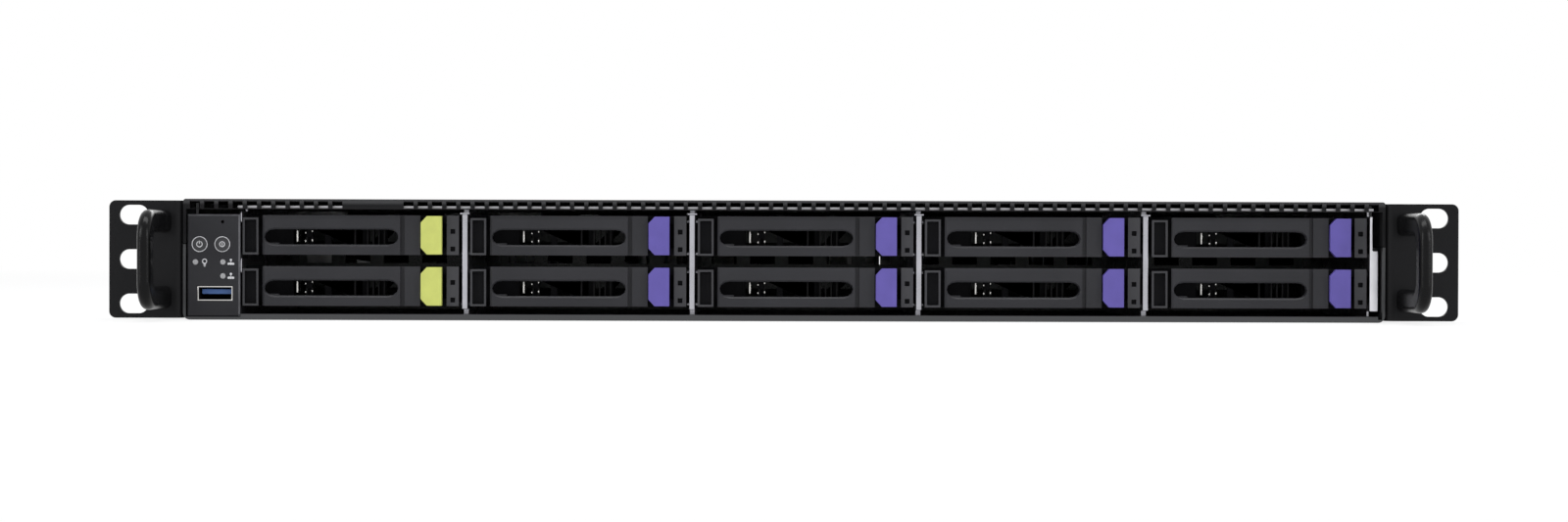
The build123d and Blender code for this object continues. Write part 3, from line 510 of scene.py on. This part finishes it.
def pan_front_plate():
    """The pan's plate with painted shade: darker and duller along its front edges and hem, where
    the front stands in shadow.
    """
    front = box_of("chassis_base")[0].y
    front_shade_tone = tuple(share * 0.29 for share in colours().pan)
    return graded(
        "pan_front_plate", "Y", front + 9, front + 14, front_shade_tone, tuple(colours().pan), 0.42,
        metal=1.0, grain=0.6, relief=0.08, spread=0.08,
    )


def zinc_plate():
    """Bright zinc with the faint grain of plated sheet."""
    return surface(
        "zinc_plate", colours().zinc, 0.32, metal=1.0, grain=0.35, relief=0.06, vary=0.1,
        spread=0.09, patch=90,
    )


def zinc_bright():
    """The zinc of the cage's right flange, lighter as a painted highlight where it faces the
    light.
    """
    return surface(
        "zinc_bright", (0.80, 0.80, 0.84), 0.36, metal=1.0, grain=0.35, relief=0.06, patch=90,
    )


def zinc_dull():
    """The zinc of the cage's top, which shows through the holes of the lip, darker and rougher as
    painted shade under the cover.
    """
    return surface(
        "zinc_dull", (0.40, 0.40, 0.415), 0.5, metal=1.0, grain=0.35, relief=0.06, vary=0.2,
        patch=150,
    )


def nickel():
    return surface(
        "nickel", (0.60, 0.59, 0.57), 0.24, metal=1.0, grain=0.3, relief=0.04, vary=0.06,
        patch=120,
    )


def panel_plastic():
    return surface("panel_plastic", colours().panel, 0.45, specular=0.09, grain=0.28, relief=0.2)


def worn_edge():
    """Painted highlight on the panel's rim, where the light catches its moulded edge."""
    return surface(
        "worn_edge", (0.10, 0.10, 0.11), 0.4, specular=0.4, grain=0.28, relief=0.2, vary=0.4,
        patch=300,
    )


def tray_plastic():
    return surface("tray_plastic", colours().tray, 0.5, specular=0.12, grain=0.3, relief=0.2)


def block_plastic():
    """The lighter plastic of the light blocks at the trays' right ends, also used as a painted
    highlight on the rims of the windows' frames.
    """
    return surface(
        "block_plastic", (0.032, 0.032, 0.036), 0.45, specular=0.35, grain=0.3, relief=0.15,
    )


def inner_shade():
    """Painted shade: the near-black put on what stands deep behind the slots and in other
    recesses.
    """
    return surface("inner_shade", (0.007, 0.007, 0.008), 0.7, specular=0.05, grain=0.4, relief=0.1)


def lever_plastic():
    return surface(
        "lever_plastic", colours().lever, 0.36, specular=0.17, grain=0.3, relief=0.15, patch=45,
    )


def button_plastic():
    return surface(
        "button_plastic", (0.03, 0.03, 0.033), 0.42, specular=0.4, grain=0.25, relief=0.12,
    )


def latch_plastic(green):
    tone = colours().green if green else colours().violet
    name = "latch_green" if green else "latch_violet"
    return surface(
        name, tone, 0.38, specular=0.35, grain=0.3, relief=0.1, vary=0.07, patch=150,
    )


def port_plastic():
    return surface("port_plastic", colours().port, 0.4, specular=0.4, grain=0.2, relief=0.06)


def clear_pipe():
    """Frosted light pipe, unlit."""
    return surface("clear_pipe", (0.30, 0.30, 0.31), 0.3, grain=0.2, relief=0.1, coat=0.6)


def panel_print():
    return surface(
        "panel_print", colours().print, 0.55, specular=0.25, grain=0.12, relief=0.2, vary=0.15,
        patch=400,
    )


def dark_steel():
    return surface("dark_steel", (0.02, 0.02, 0.021), 0.38, metal=0.6, grain=0.2, relief=0.08)


def gold():
    return surface("gold", (0.75, 0.52, 0.20), 0.25, metal=1.0, grain=0.2, relief=0.05)


def fin_aluminium():
    return surface(
        "fin_aluminium", (0.62, 0.63, 0.65), 0.34, metal=1.0, grain=0.5, relief=0.1, vary=0.08,
    )


def resist(name, tone, gloss=0.3):
    """Solder resist over copper: a faint net of tracks raised under a glossy green coat."""
    if made(name):
        return made(name)
    material = surface(name, tone, 0.3, specular=0.5, grain=0.6, relief=0.05, coat=gloss)
    tree = material.node_tree
    place = tree.nodes.new("ShaderNodeTexCoord")
    tracks = tree.nodes.new("ShaderNodeTexVoronoi")
    tracks.distance = "MANHATTAN"
    tracks.feature = "F1"
    tracks.inputs["Scale"].default_value = 160
    tree.links.new(place.outputs["Object"], tracks.inputs["Vector"])
    light = tuple(min(1.0, share * 1.8 + 0.01) for share in tone)
    blend = shades(tree, ranged(tree, tracks.outputs["Distance"], 0, 1), tone, light)
    tree.links.new(blend, tree.nodes["Principled BSDF"].inputs["Base Color"])
    return material


def white_when_seen(name, tone, near_share):
    """A pale diffuse floor that the camera and reflections see as nearly white.

    It is least white, by near_share, close to the part, so that the shadow shows there.
    """
    material = bpy.data.materials.new(name)
    material.use_nodes = True
    tree = material.node_tree
    tree.nodes.clear()
    out = tree.nodes.new("ShaderNodeOutputMaterial")
    pale = tree.nodes.new("ShaderNodeBsdfDiffuse")
    glow = tree.nodes.new("ShaderNodeEmission")
    glow.inputs["Strength"].default_value = 1.0
    darker = tuple(share * 0.985 for share in tone)
    tree.links.new(shades(tree, noise(tree, 6.0), darker, tone), pale.inputs["Color"])
    mix = tree.nodes.new("ShaderNodeMixShader")
    part = tree.nodes.new("ShaderNodeMath")
    part.operation = "MULTIPLY"
    tree.links.new(seen_ray(tree), part.inputs[0])
    place = tree.nodes.new("ShaderNodeTexCoord")
    away = tree.nodes.new("ShaderNodeVectorMath")
    away.operation = "LENGTH"
    tree.links.new(place.outputs["Object"], away.inputs[0])
    far = tree.nodes.new("ShaderNodeMapRange")
    far.inputs["From Min"].default_value = 0.45
    far.inputs["From Max"].default_value = 1.3
    far.inputs["To Min"].default_value = near_share
    far.inputs["To Max"].default_value = 1.0
    tree.links.new(away.outputs["Value"], far.inputs["Value"])
    tree.links.new(far.outputs["Result"], part.inputs[1])
    tree.links.new(part.outputs[0], mix.inputs[0])
    tree.links.new(pale.outputs[0], mix.inputs[1])
    tree.links.new(glow.outputs[0], mix.inputs[2])
    tree.links.new(mix.outputs[0], out.inputs["Surface"])
    return material


def seen_ray(tree):
    """One for rays from the camera, off gloss and through glass, otherwise nought."""
    path = tree.nodes.new("ShaderNodeLightPath")
    result = path.outputs["Is Camera Ray"]
    for name in ("Is Glossy Ray", "Is Transmission Ray"):
        either = tree.nodes.new("ShaderNodeMath")
        either.operation = "MAXIMUM"
        tree.links.new(result, either.inputs[0])
        tree.links.new(path.outputs[name], either.inputs[1])
        result = either.outputs[0]
    return result


# Pieces


class RACKSERVER_OT_stage(bpy.types.Operator):
    """Sets up the pale floor, the soft studio light and the camera"""

    bl_idname = "rackserver.stage"
    bl_label = "Studio"

    def execute(self, context):
        floor = block("floor", (-6000, 6000), (-6000, 6000), (-12, -0.05))
        floor.data.materials.append(white_when_seen("floor_white", (0.88, 0.88, 0.88), 0.75))
        world = bpy.data.worlds.new("studio")
        context.scene.world = world
        world.use_nodes = True
        tree = world.node_tree
        tree.nodes.clear()
        out = tree.nodes.new("ShaderNodeOutputWorld")
        fill = tree.nodes.new("ShaderNodeBackground")
        fill.inputs["Color"].default_value = (0.95, 0.97, 1.0, 1)
        fill.inputs["Strength"].default_value = 0.42
        white = tree.nodes.new("ShaderNodeBackground")
        white.inputs["Color"].default_value = (1, 1, 1, 1)
        white.inputs["Strength"].default_value = 1.0
        mix = tree.nodes.new("ShaderNodeMixShader")
        tree.links.new(seen_ray(tree), mix.inputs[0])
        tree.links.new(fill.outputs[0], mix.inputs[1])
        tree.links.new(white.outputs[0], mix.inputs[2])
        tree.links.new(mix.outputs[0], out.inputs["Surface"])
        front = (0.0, -0.34, 0.02)
        self.lamp("top_light", (0.0, -0.55, 1.25), front, (1.5, 0.5), 15)
        self.lamp("left_light", (-1.15, -1.15, 0.55), (-0.1, -0.34, 0.02), (0.6, 0.8), 4)
        self.lamp("right_light", (1.15, -1.2, 0.5), (0.1, -0.34, 0.02), (0.6, 0.8), 3)
        for side, word in ((-1, "left"), (1, "right")):
            ear = (0.22 * side, -0.37, 0.02)
            self.lamp(word + "_strip", (1.35 * side, -1.1, 0.3), ear, (0.14, 0.9), 4)
        self.lamp("back_light", (0.3, 1.3, 0.9), (0.0, 0.3, 0.0), (1.2, 0.6), 10)
        self.camera()
        context.scene.view_settings.view_transform = "Standard"
        return {"FINISHED"}

    def camera(self):
        """The photo's view: straight at the front, from a little above the middle."""
        place = (-0.0079, -1.342, 0.0296)
        aside, down, tilt = -0.43, -0.46, 0.17
        lens = bpy.data.cameras.new("camera")
        lens.lens = 64.2
        lens.sensor_width = 36.0
        lens.clip_start = 0.01
        lens.clip_end = 50
        lens.dof.use_dof = False
        camera = bpy.data.objects.new("camera", lens)
        bpy.context.scene.collection.objects.link(camera)
        turn = Matrix.Rotation(math.radians(aside), 4, "Z")
        turn = turn @ Matrix.Rotation(math.radians(90 + down), 4, "X")
        turn = turn @ Matrix.Rotation(math.radians(tilt), 4, "Z")
        camera.matrix_world = Matrix.Translation(place) @ turn
        bpy.context.scene.camera = camera

    def lamp(self, name, place, target, size, power):
        """A soft rectangular lamp aimed at a target, all in metres and watts."""
        light = bpy.data.lights.new(name, "AREA")
        light.shape = "RECTANGLE"
        light.size, light.size_y = size
        light.energy = power
        lamp = bpy.data.objects.new(name, light)
        bpy.context.scene.collection.objects.link(lamp)
        aim = (Vector(target) - Vector(place)).to_track_quat("-Z", "Y")
        lamp.matrix_world = Matrix.Translation(place) @ aim.to_matrix().to_4x4()


class RACKSERVER_OT_pan(bpy.types.Operator):
    """Gives the plated pan its finish, with painted shade along the front"""

    bl_idname = "rackserver.pan"
    bl_label = "Pan"

    def execute(self, context):
        # Painted shade: the pan's front edges and hem are darker.
        coat_node("chassis_base", pan_front_plate())
        return {"FINISHED"}


class RACKSERVER_OT_front_cover(bpy.types.Operator):
    """Shows the perforated front cover with a rolled upper edge"""

    bl_idname = "rackserver.front_cover"
    bl_label = "Front cover"

    def execute(self, context):
        low, high = box_of("front_cover")
        cover = solid_copy("front_cover", "front_cover_shown")
        bend = sizes().bend / MM
        round_edges(
            cover,
            lambda p, d: at(p.y, low.y) and at(p.z, high.z) and along(d.x),
            bend, 4,
        )
        soften(cover, sizes().sheet_edge / MM * 0.6, 1, 50)
        dress(cover, "chassis", "black_steel", powder_coat(), ("front_cover",))
        # Painted highlight: the lip's front faces turn paler towards the upper ends of the holes.
        tint(cover, lip_coat(high.z), lambda p, d: d.y < -0.95)
        return {"FINISHED"}


class RACKSERVER_OT_rear_cover(bpy.types.Operator):
    """Shows the sliding cover with pressed beads and its captive screw"""

    bl_idname = "rackserver.rear_cover"
    bl_label = "Rear cover and screw"

    def execute(self, context):
        cover = solid_copy("top_cover", "top_cover_shown")
        low, high = box_of("top_cover")
        depth = sizes().bead_depth / MM
        bead_start, bead_length, bead_spacing = low.y + 190, 230, 120
        bead_bottom, bead_top = 2, 12
        for x in (-bead_spacing, 0, bead_spacing):
            bead = rod("bead", (x, bead_start, high.z), bead_bottom, 2 * depth, "Z", 24, bead_top)
            shift(bead, "VERT", lambda p, d: p.y > bead_start, (0, bead_length, 0))
            cut(cover, bead)
        grip_place, grip_half, grip_bottom, grip_top = (0, low.y + 60, high.z), 30, 20, 32
        grip = rod("grip", grip_place, grip_bottom, 2 * depth, "Z", 40, grip_top)
        shift(grip, "VERT", lambda p, d: p.x > 0, (grip_half, 0, 0))
        shift(grip, "VERT", lambda p, d: p.x < 0, (-grip_half, 0, 0))
        cut(cover, grip)
        soften(cover, sizes().sheet_edge / MM, 2, 30)
        dress(cover, "top_cover", "plated_steel", pan_plate(), ("top_cover",), angle=3)
        rounded_node("cover_screw", "nickel", nickel(), 0.4, 2, 25)
        return {"FINISHED"}


class RACKSERVER_OT_ears(bpy.types.Operator):
    """Shows the two rack ears with soft edges"""

    bl_idname = "rackserver.ears"
    bl_label = "Rack ears"

    def execute(self, context):
        edge = sizes().sheet_edge / MM
        for side in ("left", "right"):
            rounded_node("ear_" + side, "black_steel", powder_coat(), edge, 2, 40)
        return {"FINISHED"}


class RACKSERVER_OT_handles(bpy.types.Operator):
    """Models the broad rounded pull handles"""

    bl_idname = "rackserver.handles"
    bl_label = "Handles"

    def execute(self, context):
        low, high = box_of("handle_right")
        bar, outer_corner, inner_corner = 8.0, 10.0, 4.5
        steps = sizes().handle_steps
        loop = block("handle_right_shown", (low.x, high.x), (low.y, high.y), (low.z, high.z))
        round_edges(loop, lambda p, d: at(p.y, low.y) and along(d.x), outer_corner, steps)
        gap = block(
            "gap", (low.x - 2, high.x + 2), (low.y + bar, high.y + 5), (low.z + bar, high.z - bar),
        )
        round_edges(gap, lambda p, d: at(p.y, low.y + bar) and along(d.x), inner_corner, steps)
        cut(loop, gap)
        round_edges(
            loop,
            lambda p, d: abs(d.x) < 0.1 and (at(p.x, low.x) or at(p.x, high.x))
            and p.y < high.y - 0.05,
            sizes().handle_round / MM, 5,
        )
        left = mirrored(loop, "handle_left_shown")
        for side, piece in (("right", loop), ("left", left)):
            replaced = ("handle_" + side,)
            dress(piece, "chassis", "handle_black", handle_black(), replaced, angle=50)
        return {"FINISHED"}


class RACKSERVER_OT_bracket_screws(bpy.types.Operator):
    """Shows the black screws that hold ears and handles"""

    bl_idname = "rackserver.bracket_screws"
    bl_label = "Bracket screws"

    def execute(self, context):
        rounded_node("bracket_screws", "black_screw", dark_steel(), 0.35, 3, 40)
        return {"FINISHED"}


class RACKSERVER_OT_cage(bpy.types.Operator):
    """Shows the bright drive cage and the backplane behind it"""

    bl_idname = "rackserver.cage"
    bl_label = "Drive cage"

    def execute(self, context):
        cage = rounded_node("drive_cage", "bright_zinc", zinc_plate(), 0.25, 2, 40)
        flange = box_of("drive_cage")[1].z - 1.15
        # Painted shade: the cage's top, under the cover, gets a darker, rougher zinc.
        tint(cage, zinc_dull(), lambda p, d: p.z > flange)
        wall = box_of("tray_5")[1].x + 0.5
        # Painted highlight: the right flange's front faces get a lighter zinc.
        tint(cage, zinc_bright(), lambda p, d: p.x > wall and d.y < -0.9 and p.z < flange)
        self.tabs()
        # Painted shade: the backplane deep behind the cage gets a near-black resist, far darker
        # than the main board's.
        dark = resist("backplane_resist", (0.002, 0.010, 0.006), 0.0)
        coat_node("drive_backplane", dark)
        return {"FINISHED"}

    def tabs(self):
        """The bright spring tabs left of the first column, and one hook over each divider."""
        left = box_of("control_panel")[1].x
        front = box_of("tray_1")[0].y
        floor = box_of("drive_cage")[0].z
        tabs = []
        spring_front = front - 0.2
        for low, high in ((floor + 15.6, floor + 20.8), (floor + 33.6, floor + 37.8)):
            tab = block("tab", (left + 0.15, left + 0.5), (spring_front, front + 12), (low, high))
            round_edges(tab, lambda p, d: at(p.y, spring_front) and along(d.x), 1.2, 3)
            shift(tab, "VERT", lambda p, d: p.z > high - 1.5 and p.y < front + 3, (0, 0, 0.3))
            tabs.append(tab)
        hook_front, hook_half, hook_sheet = front + 1.2, 1.9, (floor + 37.05, floor + 37.45)
        for number in range(1, 5):
            x = (box_of(f"tray_{number}")[1].x + box_of(f"tray_{number + 1}")[0].x) / 2
            hook = block("hook", about(x, hook_half), (hook_front, front + 9), hook_sheet)
            round_edges(hook, lambda p, d: at(p.y, hook_front) and along(d.z), 0.9, 2)
            tabs.append(hook)
        dress(join("cage_tabs", tabs), "chassis", "bright_zinc", zinc_plate())


class RACKSERVER_OT_trays(bpy.types.Operator):
    """Shows the ten drive trays with moulded edges"""

    bl_idname = "rackserver.trays"
    bl_label = "Drive trays"

    def execute(self, context):
        first = soften(solid_copy("tray_1", "tray_1_shown"), sizes().edge / MM, 2, 40)
        for number, piece in copies(first, "tray"):
            node = f"tray_{number}"
            dress(piece, node, "tray_plastic", tray_plastic(), (node,))
            self.shade(piece, box_of(node)[0], box_of(f"latch_{number}")[1].x + 1.5)
        return {"FINISHED"}

    def shade(self, piece, near, right):
        """Paints near-black shade on what stands behind the lever, the window's pane and the light
        pipes' recesses, and gives the window's frame a painted highlight and the light block,
        right of a place, its own plastic."""
        frame_right, pane_right, inside = near.x + 5.7, near.x + 5.0, near.x + 0.7
        # Painted shade: near-black behind the lever and on the window's pane.
        tint(
            piece, inner_shade(),
            lambda p, d: near.y + 1.2 < p.y < near.y + 40 and inside < p.x < right
            or p.x < pane_right and near.y + 1.0 < p.y < near.y + 3 and d.y < -0.9,
        )
        # Painted highlight on the window frame's rim; the light block gets its lighter plastic.
        tint(
            piece, block_plastic(),
            lambda p, d: p.x > right and p.y < near.y + 1.5
            or p.x < frame_right and p.y < near.y + 0.25,
        )
        # Painted shade: near-black in the light pipes' recesses.
        tint(
            piece, inner_shade(),
            lambda p, d: p.x > right + 0.5 and near.y + 0.75 < p.y < near.y + 1.6,
        )


class RACKSERVER_OT_slot_fittings(bpy.types.Operator):
    """Models the ribs and the spring clip that show behind the levers' slots"""

    bl_idname = "rackserver.slot_fittings"
    bl_label = "Slot fittings"

    def execute(self, context):
        corner = box_of("tray_1")[0]
        back = corner.y + 8.9
        ribs = self.ribs(corner, back)
        clip = self.clip(corner, back)
        for number in TRAYS:
            move = box_of(f"tray_{number}")[0] - corner
            for piece, slot, finish in (
                (ribs, "tray_plastic", tray_plastic()), (clip, "nickel", nickel()),
            ):
                name = piece.name[:-1] + str(number)
                copy = piece if number == 1 else repeat(piece, name, move)
                dress(copy, f"tray_{number}", slot, finish)
        return {"FINISHED"}

    def ribs(self, corner, back):
        """Two low ribs at the left of the slot and a row of tall ones at the right."""
        low_rib, tall_rib = (4.0, 6.4), (2.4, 11.6)
        ribs = []
        for x, front, (low, high) in (
            (22.0, 6.2, low_rib), (24.0, 6.2, low_rib), (39.5, 5.2, tall_rib),
            *((44.0 + 2.0 * step, 5.6, tall_rib) for step in range(4)),
        ):
            rib = block(
                "rib", about(corner.x + x, 0.3), (corner.y + front, back),
                (corner.z + low, corner.z + high),
            )
            ribs.append(soften(rib, 0.12, 2))
        return join("slot_ribs_1", ribs)

    def clip(self, corner, back):
        """A bright bent strip with four small contacts beside it."""
        strip = block(
            "strip", (corner.x + 18.4, corner.x + 18.9), (corner.y + 5.8, back),
            (corner.z + 4.6, corner.z + 9.4),
        )
        shift(strip, "FACE", lambda p, d: d.z > 0.9, (0, 0, -0.6))
        pull(strip, lambda p, d: d.x > 0.9, (0.5, 0, 0))
        shift(strip, "FACE", lambda p, d: d.x > 0.9, (0, 0.9, 0))
        parts = [strip]
        for x, low, high in (
            (21.6, 4.4, 5.2), (21.6, 7.6, 8.3), (24.0, 4.6, 5.6), (24.0, 8.2, 9.0),
        ):
            contact = block(
                "contact", about(corner.x + x, 0.2), (corner.y + 6.0, back),
                (corner.z + low, corner.z + high),
            )
            parts.append(contact)
        return soften(join("slot_clip_1", parts), 0.12, 2)


class RACKSERVER_OT_levers(bpy.types.Operator):
    """Shows the ten slotted ejector levers"""

    bl_idname = "rackserver.levers"
    bl_label = "Ejector levers"

    def execute(self, context):
        first = soften(solid_copy("lever_1", "lever_1_shown"), sizes().edge / MM * 0.8, 2, 30)
        for number, piece in copies(first, "lever"):
            node = f"lever_{number}"
            dress(piece, node, "lever_plastic", lever_plastic(), (node,))
        return {"FINISHED"}


class RACKSERVER_OT_latches(bpy.types.Operator):
    """Shows the coloured release latches"""

    bl_idname = "rackserver.latches"
    bl_label = "Release latches"

    def execute(self, context):
        first = soften(solid_copy("latch_1", "latch_1_shown"), 0.14, 2, 30)
        for number, piece in copies(first, "latch"):
            node, green = f"latch_{number}", number in FIRST_COLUMN
            slot = "latch_green" if green else "latch_violet"
            dress(piece, node, slot, latch_plastic(green), (node,))
        return {"FINISHED"}


class RACKSERVER_OT_panel(bpy.types.Operator):
    """Shows the control panel with its buttons, lights and data port"""

    bl_idname = "rackserver.panel"
    bl_label = "Control panel"

    def execute(self, context):
        panel = rounded_node("control_panel", "panel_plastic", panel_plastic(), 0.35, 2, 40)
        low, high = box_of("control_panel")
        top, right = high.z - 1.2, high.x - 1.0
        # Painted highlight: the top and right bevels of the panel get a lighter plastic.
        tint(
            panel, worn_edge(),
            lambda p, d: p.y < low.y + 0.7 and 0.2 < -d.y < 0.97 and (d.z > 0.2 or d.x > 0.2)
            and (p.z > top or p.x > right),
        )
        for name in ("power_button", "service_button"):
            rounded_node(name, "button_plastic", button_plastic(), 0.25, 2, 40)
        coat_node("reset_button", tray_plastic())
        rounded_node("indicator_lights", "light_pipe", clear_pipe(), 0.25, 3, 40)
        shell = rounded_node("port_shell", "nickel", nickel(), 0.1, 2, 40)
        mouth, far = box_of("port_shell")
        wall, lip = 0.2, 0.3
        # Painted shade: near-black inside the port's shell.
        tint(
            shell, inner_shade(),
            lambda p, d: p.y > mouth.y + lip and mouth.x + wall < p.x < far.x - wall
            and mouth.z + wall < p.z < far.z - wall,
        )
        rounded_node("port_tongue", "port_blue", port_plastic(), 0.2, 2, 40)
        return {"FINISHED"}


class RACKSERVER_OT_signs(bpy.types.Operator):
    """Prints the plain rings and signs on the panel and its two buttons"""

    bl_idname = "rackserver.signs"
    bl_label = "Panel signs"

    def execute(self, context):
        height = sizes().print_height / MM
        sunk = 0.005
        face = box_of("control_panel")[0].y - height / 2 + sunk
        rings = []
        for name in ("power_button", "service_button"):
            x, y, z = self.middle(name)
            rings.append(flat_ring("ring", (x, face, z), 2.53, 2.78, height))
        dress(join("panel_rings", rings), "chassis", None, panel_print())
        line, corner = 0.14, 0.05
        x, y, z = self.middle("power_button")
        cap = y - height / 2 + sunk
        flat = about(cap, height / 2)
        arc = flat_ring("arc", (x, cap, z), 0.85, 1.12, height)
        cut(arc, block("gap", about(x, 0.35), about(cap, 1), (z + 0.3, z + 2)))
        bar = soften(block("bar", about(x, line), flat, (z + 0.1, z + 1.25)), corner, 1)
        dress(join("standby_sign", [arc, bar]), "power_button", None, panel_print())
        x, y, z = self.middle("service_button")
        sign = flat_ring("sign", (x, cap, z), 0.75, 1.02, height)
        stem = soften(block("stem", about(x, line), flat, about(z, 0.45)), corner, 1)
        dress(join("service_sign", [sign, stem]), "service_button", None, panel_print())
        self.marks(face, height)
        return {"FINISHED"}

    def middle(self, name):
        """The middle of a button's face."""
        low, high = box_of(name)
        return (low.x + high.x) / 2, low.y, (low.z + high.z) / 2

    def marks(self, face, height):
        """A lamp beside the left light and a small tree of dots beside each right one."""
        floor = box_of("control_panel")[0].z
        lights = box_of("indicator_lights")
        lamp, tree = lights[0].x + 4.3, lights[1].x + 1.9
        lower_row, upper_row = floor + 14.6, floor + 19.6
        flat = about(face, height / 2)
        marks = [flat_ring("bulb", (lamp, face, upper_row + 0.3), 0.62, 0.9, height, 28)]
        for step, half in enumerate((0.42, 0.42, 0.26)):
            z = upper_row - 0.85 - 0.38 * step
            marks.append(block("thread", about(lamp, half), flat, (z, z + 0.2)))
        for z in (lower_row, upper_row):
            marks.append(block("stem", about(tree, 0.1), flat, (z - 0.3, z + 0.6)))
            marks.append(block("bar", about(tree, 0.85), flat, (z - 0.35, z - 0.15)))
            for x, up in ((0, 0.75), (-0.8, -0.6), (0, -0.6), (0.8, -0.6)):
                marks.append(rod("dot", (tree + x, face, z + up), 0.42, height, "Y", 20))
        dress(join("panel_marks", marks), "chassis", None, panel_print())


class RACKSERVER_OT_fans(bpy.types.Operator):
    """Gives the fans their moulded plastic"""

    bl_idname = "rackserver.fans"
    bl_label = "Fans"

    def execute(self, context):
        coat_node("fan_frames", tray_plastic())
        for number in range(1, 6):
            coat_node(f"fan_rotor_{number}", tray_plastic())
        return {"FINISHED"}


class RACKSERVER_OT_boards(bpy.types.Operator):
    """Gives the boards, memory and heat sinks their finishes"""

    bl_idname = "rackserver.boards"
    bl_label = "Boards"

    def execute(self, context):
        coat_node("motherboard", resist("main_resist", colours().board))
        darker = resist("memory_resist", (0.010, 0.06, 0.035))
        coat_node("memory_modules", darker)
        coat_node("processor_heatsinks", fin_aluminium())
        return {"FINISHED"}


class RACKSERVER_OT_rear(bpy.types.Operator):
    """Shows the rear sockets and the power supplies"""

    bl_idname = "rackserver.rear"
    bl_label = "Rear sockets and supplies"

    def execute(self, context):
        rounded_node("rear_sockets", "nickel", nickel(), 0.2, 2, 40)
        rear = box_of("chassis_base")[1].y
        self.socket_parts(rear)
        for number in (1, 2):
            node = f"power_supply_{number}"
            supply = rounded_node(node, "plated_steel", pan_plate(), 0.25, 2, 40)
            low, high = box_of(node)
            middle = (low.x + high.x) / 2
            behind, handle_half, tab = rear + 0.8, 8, middle + 28
            tint(
                supply, handle_black(),
                lambda p, d: p.y > behind and abs(p.x - middle) < handle_half,
            )
            tint(supply, latch_plastic(True), lambda p, d: p.y > behind and p.x > tab)
            fan_depth, fan_half, fan = 18, 35, middle - 17
            # Painted shade: near-black in each supply's fan recess behind its grille.
            tint(
                supply, inner_shade(),
                lambda p, d: rear - fan_depth < p.y < rear - 0.2 and abs(p.x - middle) < fan_half
                and low.z + 1 < p.z < high.z - 1,
            )
            self.grille(node, fan, rear, (low.z + high.z) / 2)
        return {"FINISHED"}

    def grille(self, node, x, rear, z):
        """The wire finger guard over a supply's fan with its four screws."""
        radii, wire, screw_reach = (4.5, 8, 11.5, 15), 0.55, 12
        parts = [ring("wire", (x, rear + 0.5, z), radius, wire) for radius in radii]
        for turn in (45, 135):
            bar = block("bar", about(x, 16.5), (rear, rear + 0.7), about(z, 0.6))
            only(bar)
            bpy.ops.transform.rotate(
                value=math.radians(turn), orient_axis="Y",
                center_override=Vector((x, rear, z)) * MM,
            )
            bpy.ops.object.transform_apply(location=True, rotation=True, scale=True)
            parts.append(soften(bar, 0.2, 1))
        for across in about(x, screw_reach):
            for up in about(z, screw_reach):
                head = rod("head", (across, rear + 0.7, up), 2.0, 1.4, "Y", 20)
                slit = block("slit", about(across, 2.5), (rear + 1.0, rear + 2.0), about(up, 0.3))
                parts.append(soften(cut(head, slit), 0.15, 1))
        dress(join(node + "_grille", parts), node, "nickel", nickel())

    def socket_parts(self, rear):
        """Contacts, tongues and jack screws in the rear sockets."""
        low, high = box_of("rear_sockets")
        network, pitch = high.x - 8, 20
        data, video = network - 2 * pitch - 30, round(low.x + 15.5, 3)
        contacts, wire = [], (low.z + 2.85, low.z + 3.3)
        for step in range(3):
            for number in range(8):
                x = network - step * pitch + (number - 3.5) * 1.02
                pin = block("contact", about(x, 0.25), (rear - 12, rear - 2), wire)
                shift(pin, "FACE", lambda p, d: d.y > 0.9, (0, 0, 1.4))
                contacts.append(pin)
        dress(join("socket_contacts", contacts), "chassis", None, gold(), angle=25)
        tongues = []
        for z in (low.z + 3.95, low.z + 11.15):
            tongue = block("tongue", about(data, 5.2), (rear - 11, rear - 1.5), (z, z + 1.7))
            tongues.append(soften(tongue, 0.2, 2))
        dress(join("rear_tongues", tongues), "chassis", "port_blue", port_plastic())
        screws, middle = [], round(low.z + 6.25, 3)
        for x in about(video, 12.5):
            hexagon = rod("jack", (x, rear + 1.6, middle), 2.6, 3.2, "Y", 6)
            bore = rod("bore", (x, rear + 3.0, middle), 1.3, 3.0, "Y", 20)
            screws.append(soften(cut(hexagon, bore), 0.2, 1))
        dress(join("jack_screws", screws), "chassis", "nickel", nickel())


class RACKSERVER_PT_sidebar(bpy.types.Panel):
    """Lists the steps that dress the server"""

    bl_idname = "RACKSERVER_PT_sidebar"
    bl_label = "Rack server"
    bl_space_type = "VIEW_3D"
    bl_region_type = "UI"
    bl_category = "Rack server"

    def draw(self, context):
        for step in STEPS:
            self.layout.operator(step.bl_idname)
        for group in (context.scene.rack_server_colours, context.scene.rack_server_sizes):
            for name in group.__annotations__:
                self.layout.prop(group, name)


STEPS = (
    RACKSERVER_OT_stage,
    RACKSERVER_OT_pan,
    RACKSERVER_OT_front_cover,
    RACKSERVER_OT_rear_cover,
    RACKSERVER_OT_ears,
    RACKSERVER_OT_handles,
    RACKSERVER_OT_bracket_screws,
    RACKSERVER_OT_cage,
    RACKSERVER_OT_trays,
    RACKSERVER_OT_slot_fittings,
    RACKSERVER_OT_levers,
    RACKSERVER_OT_latches,
    RACKSERVER_OT_panel,
    RACKSERVER_OT_signs,
    RACKSERVER_OT_fans,
    RACKSERVER_OT_boards,
    RACKSERVER_OT_rear,
)
CLASSES = (RackServerColours, RackServerSizes, *STEPS, RACKSERVER_PT_sidebar)


def register():
    for item in CLASSES:
        bpy.utils.register_class(item)
    bpy.types.Scene.rack_server_colours = PointerProperty(type=RackServerColours)
    bpy.types.Scene.rack_server_sizes = PointerProperty(type=RackServerSizes)


def unregister():
    del bpy.types.Scene.rack_server_sizes
    del bpy.types.Scene.rack_server_colours
    for item in reversed(CLASSES):
        bpy.utils.unregister_class(item)


def main():
    register()
    for step in STEPS:
        group, name = step.bl_idname.split(".")
        getattr(getattr(bpy.ops, group), name)()
    none()


if __name__ == "__main__":
    main()
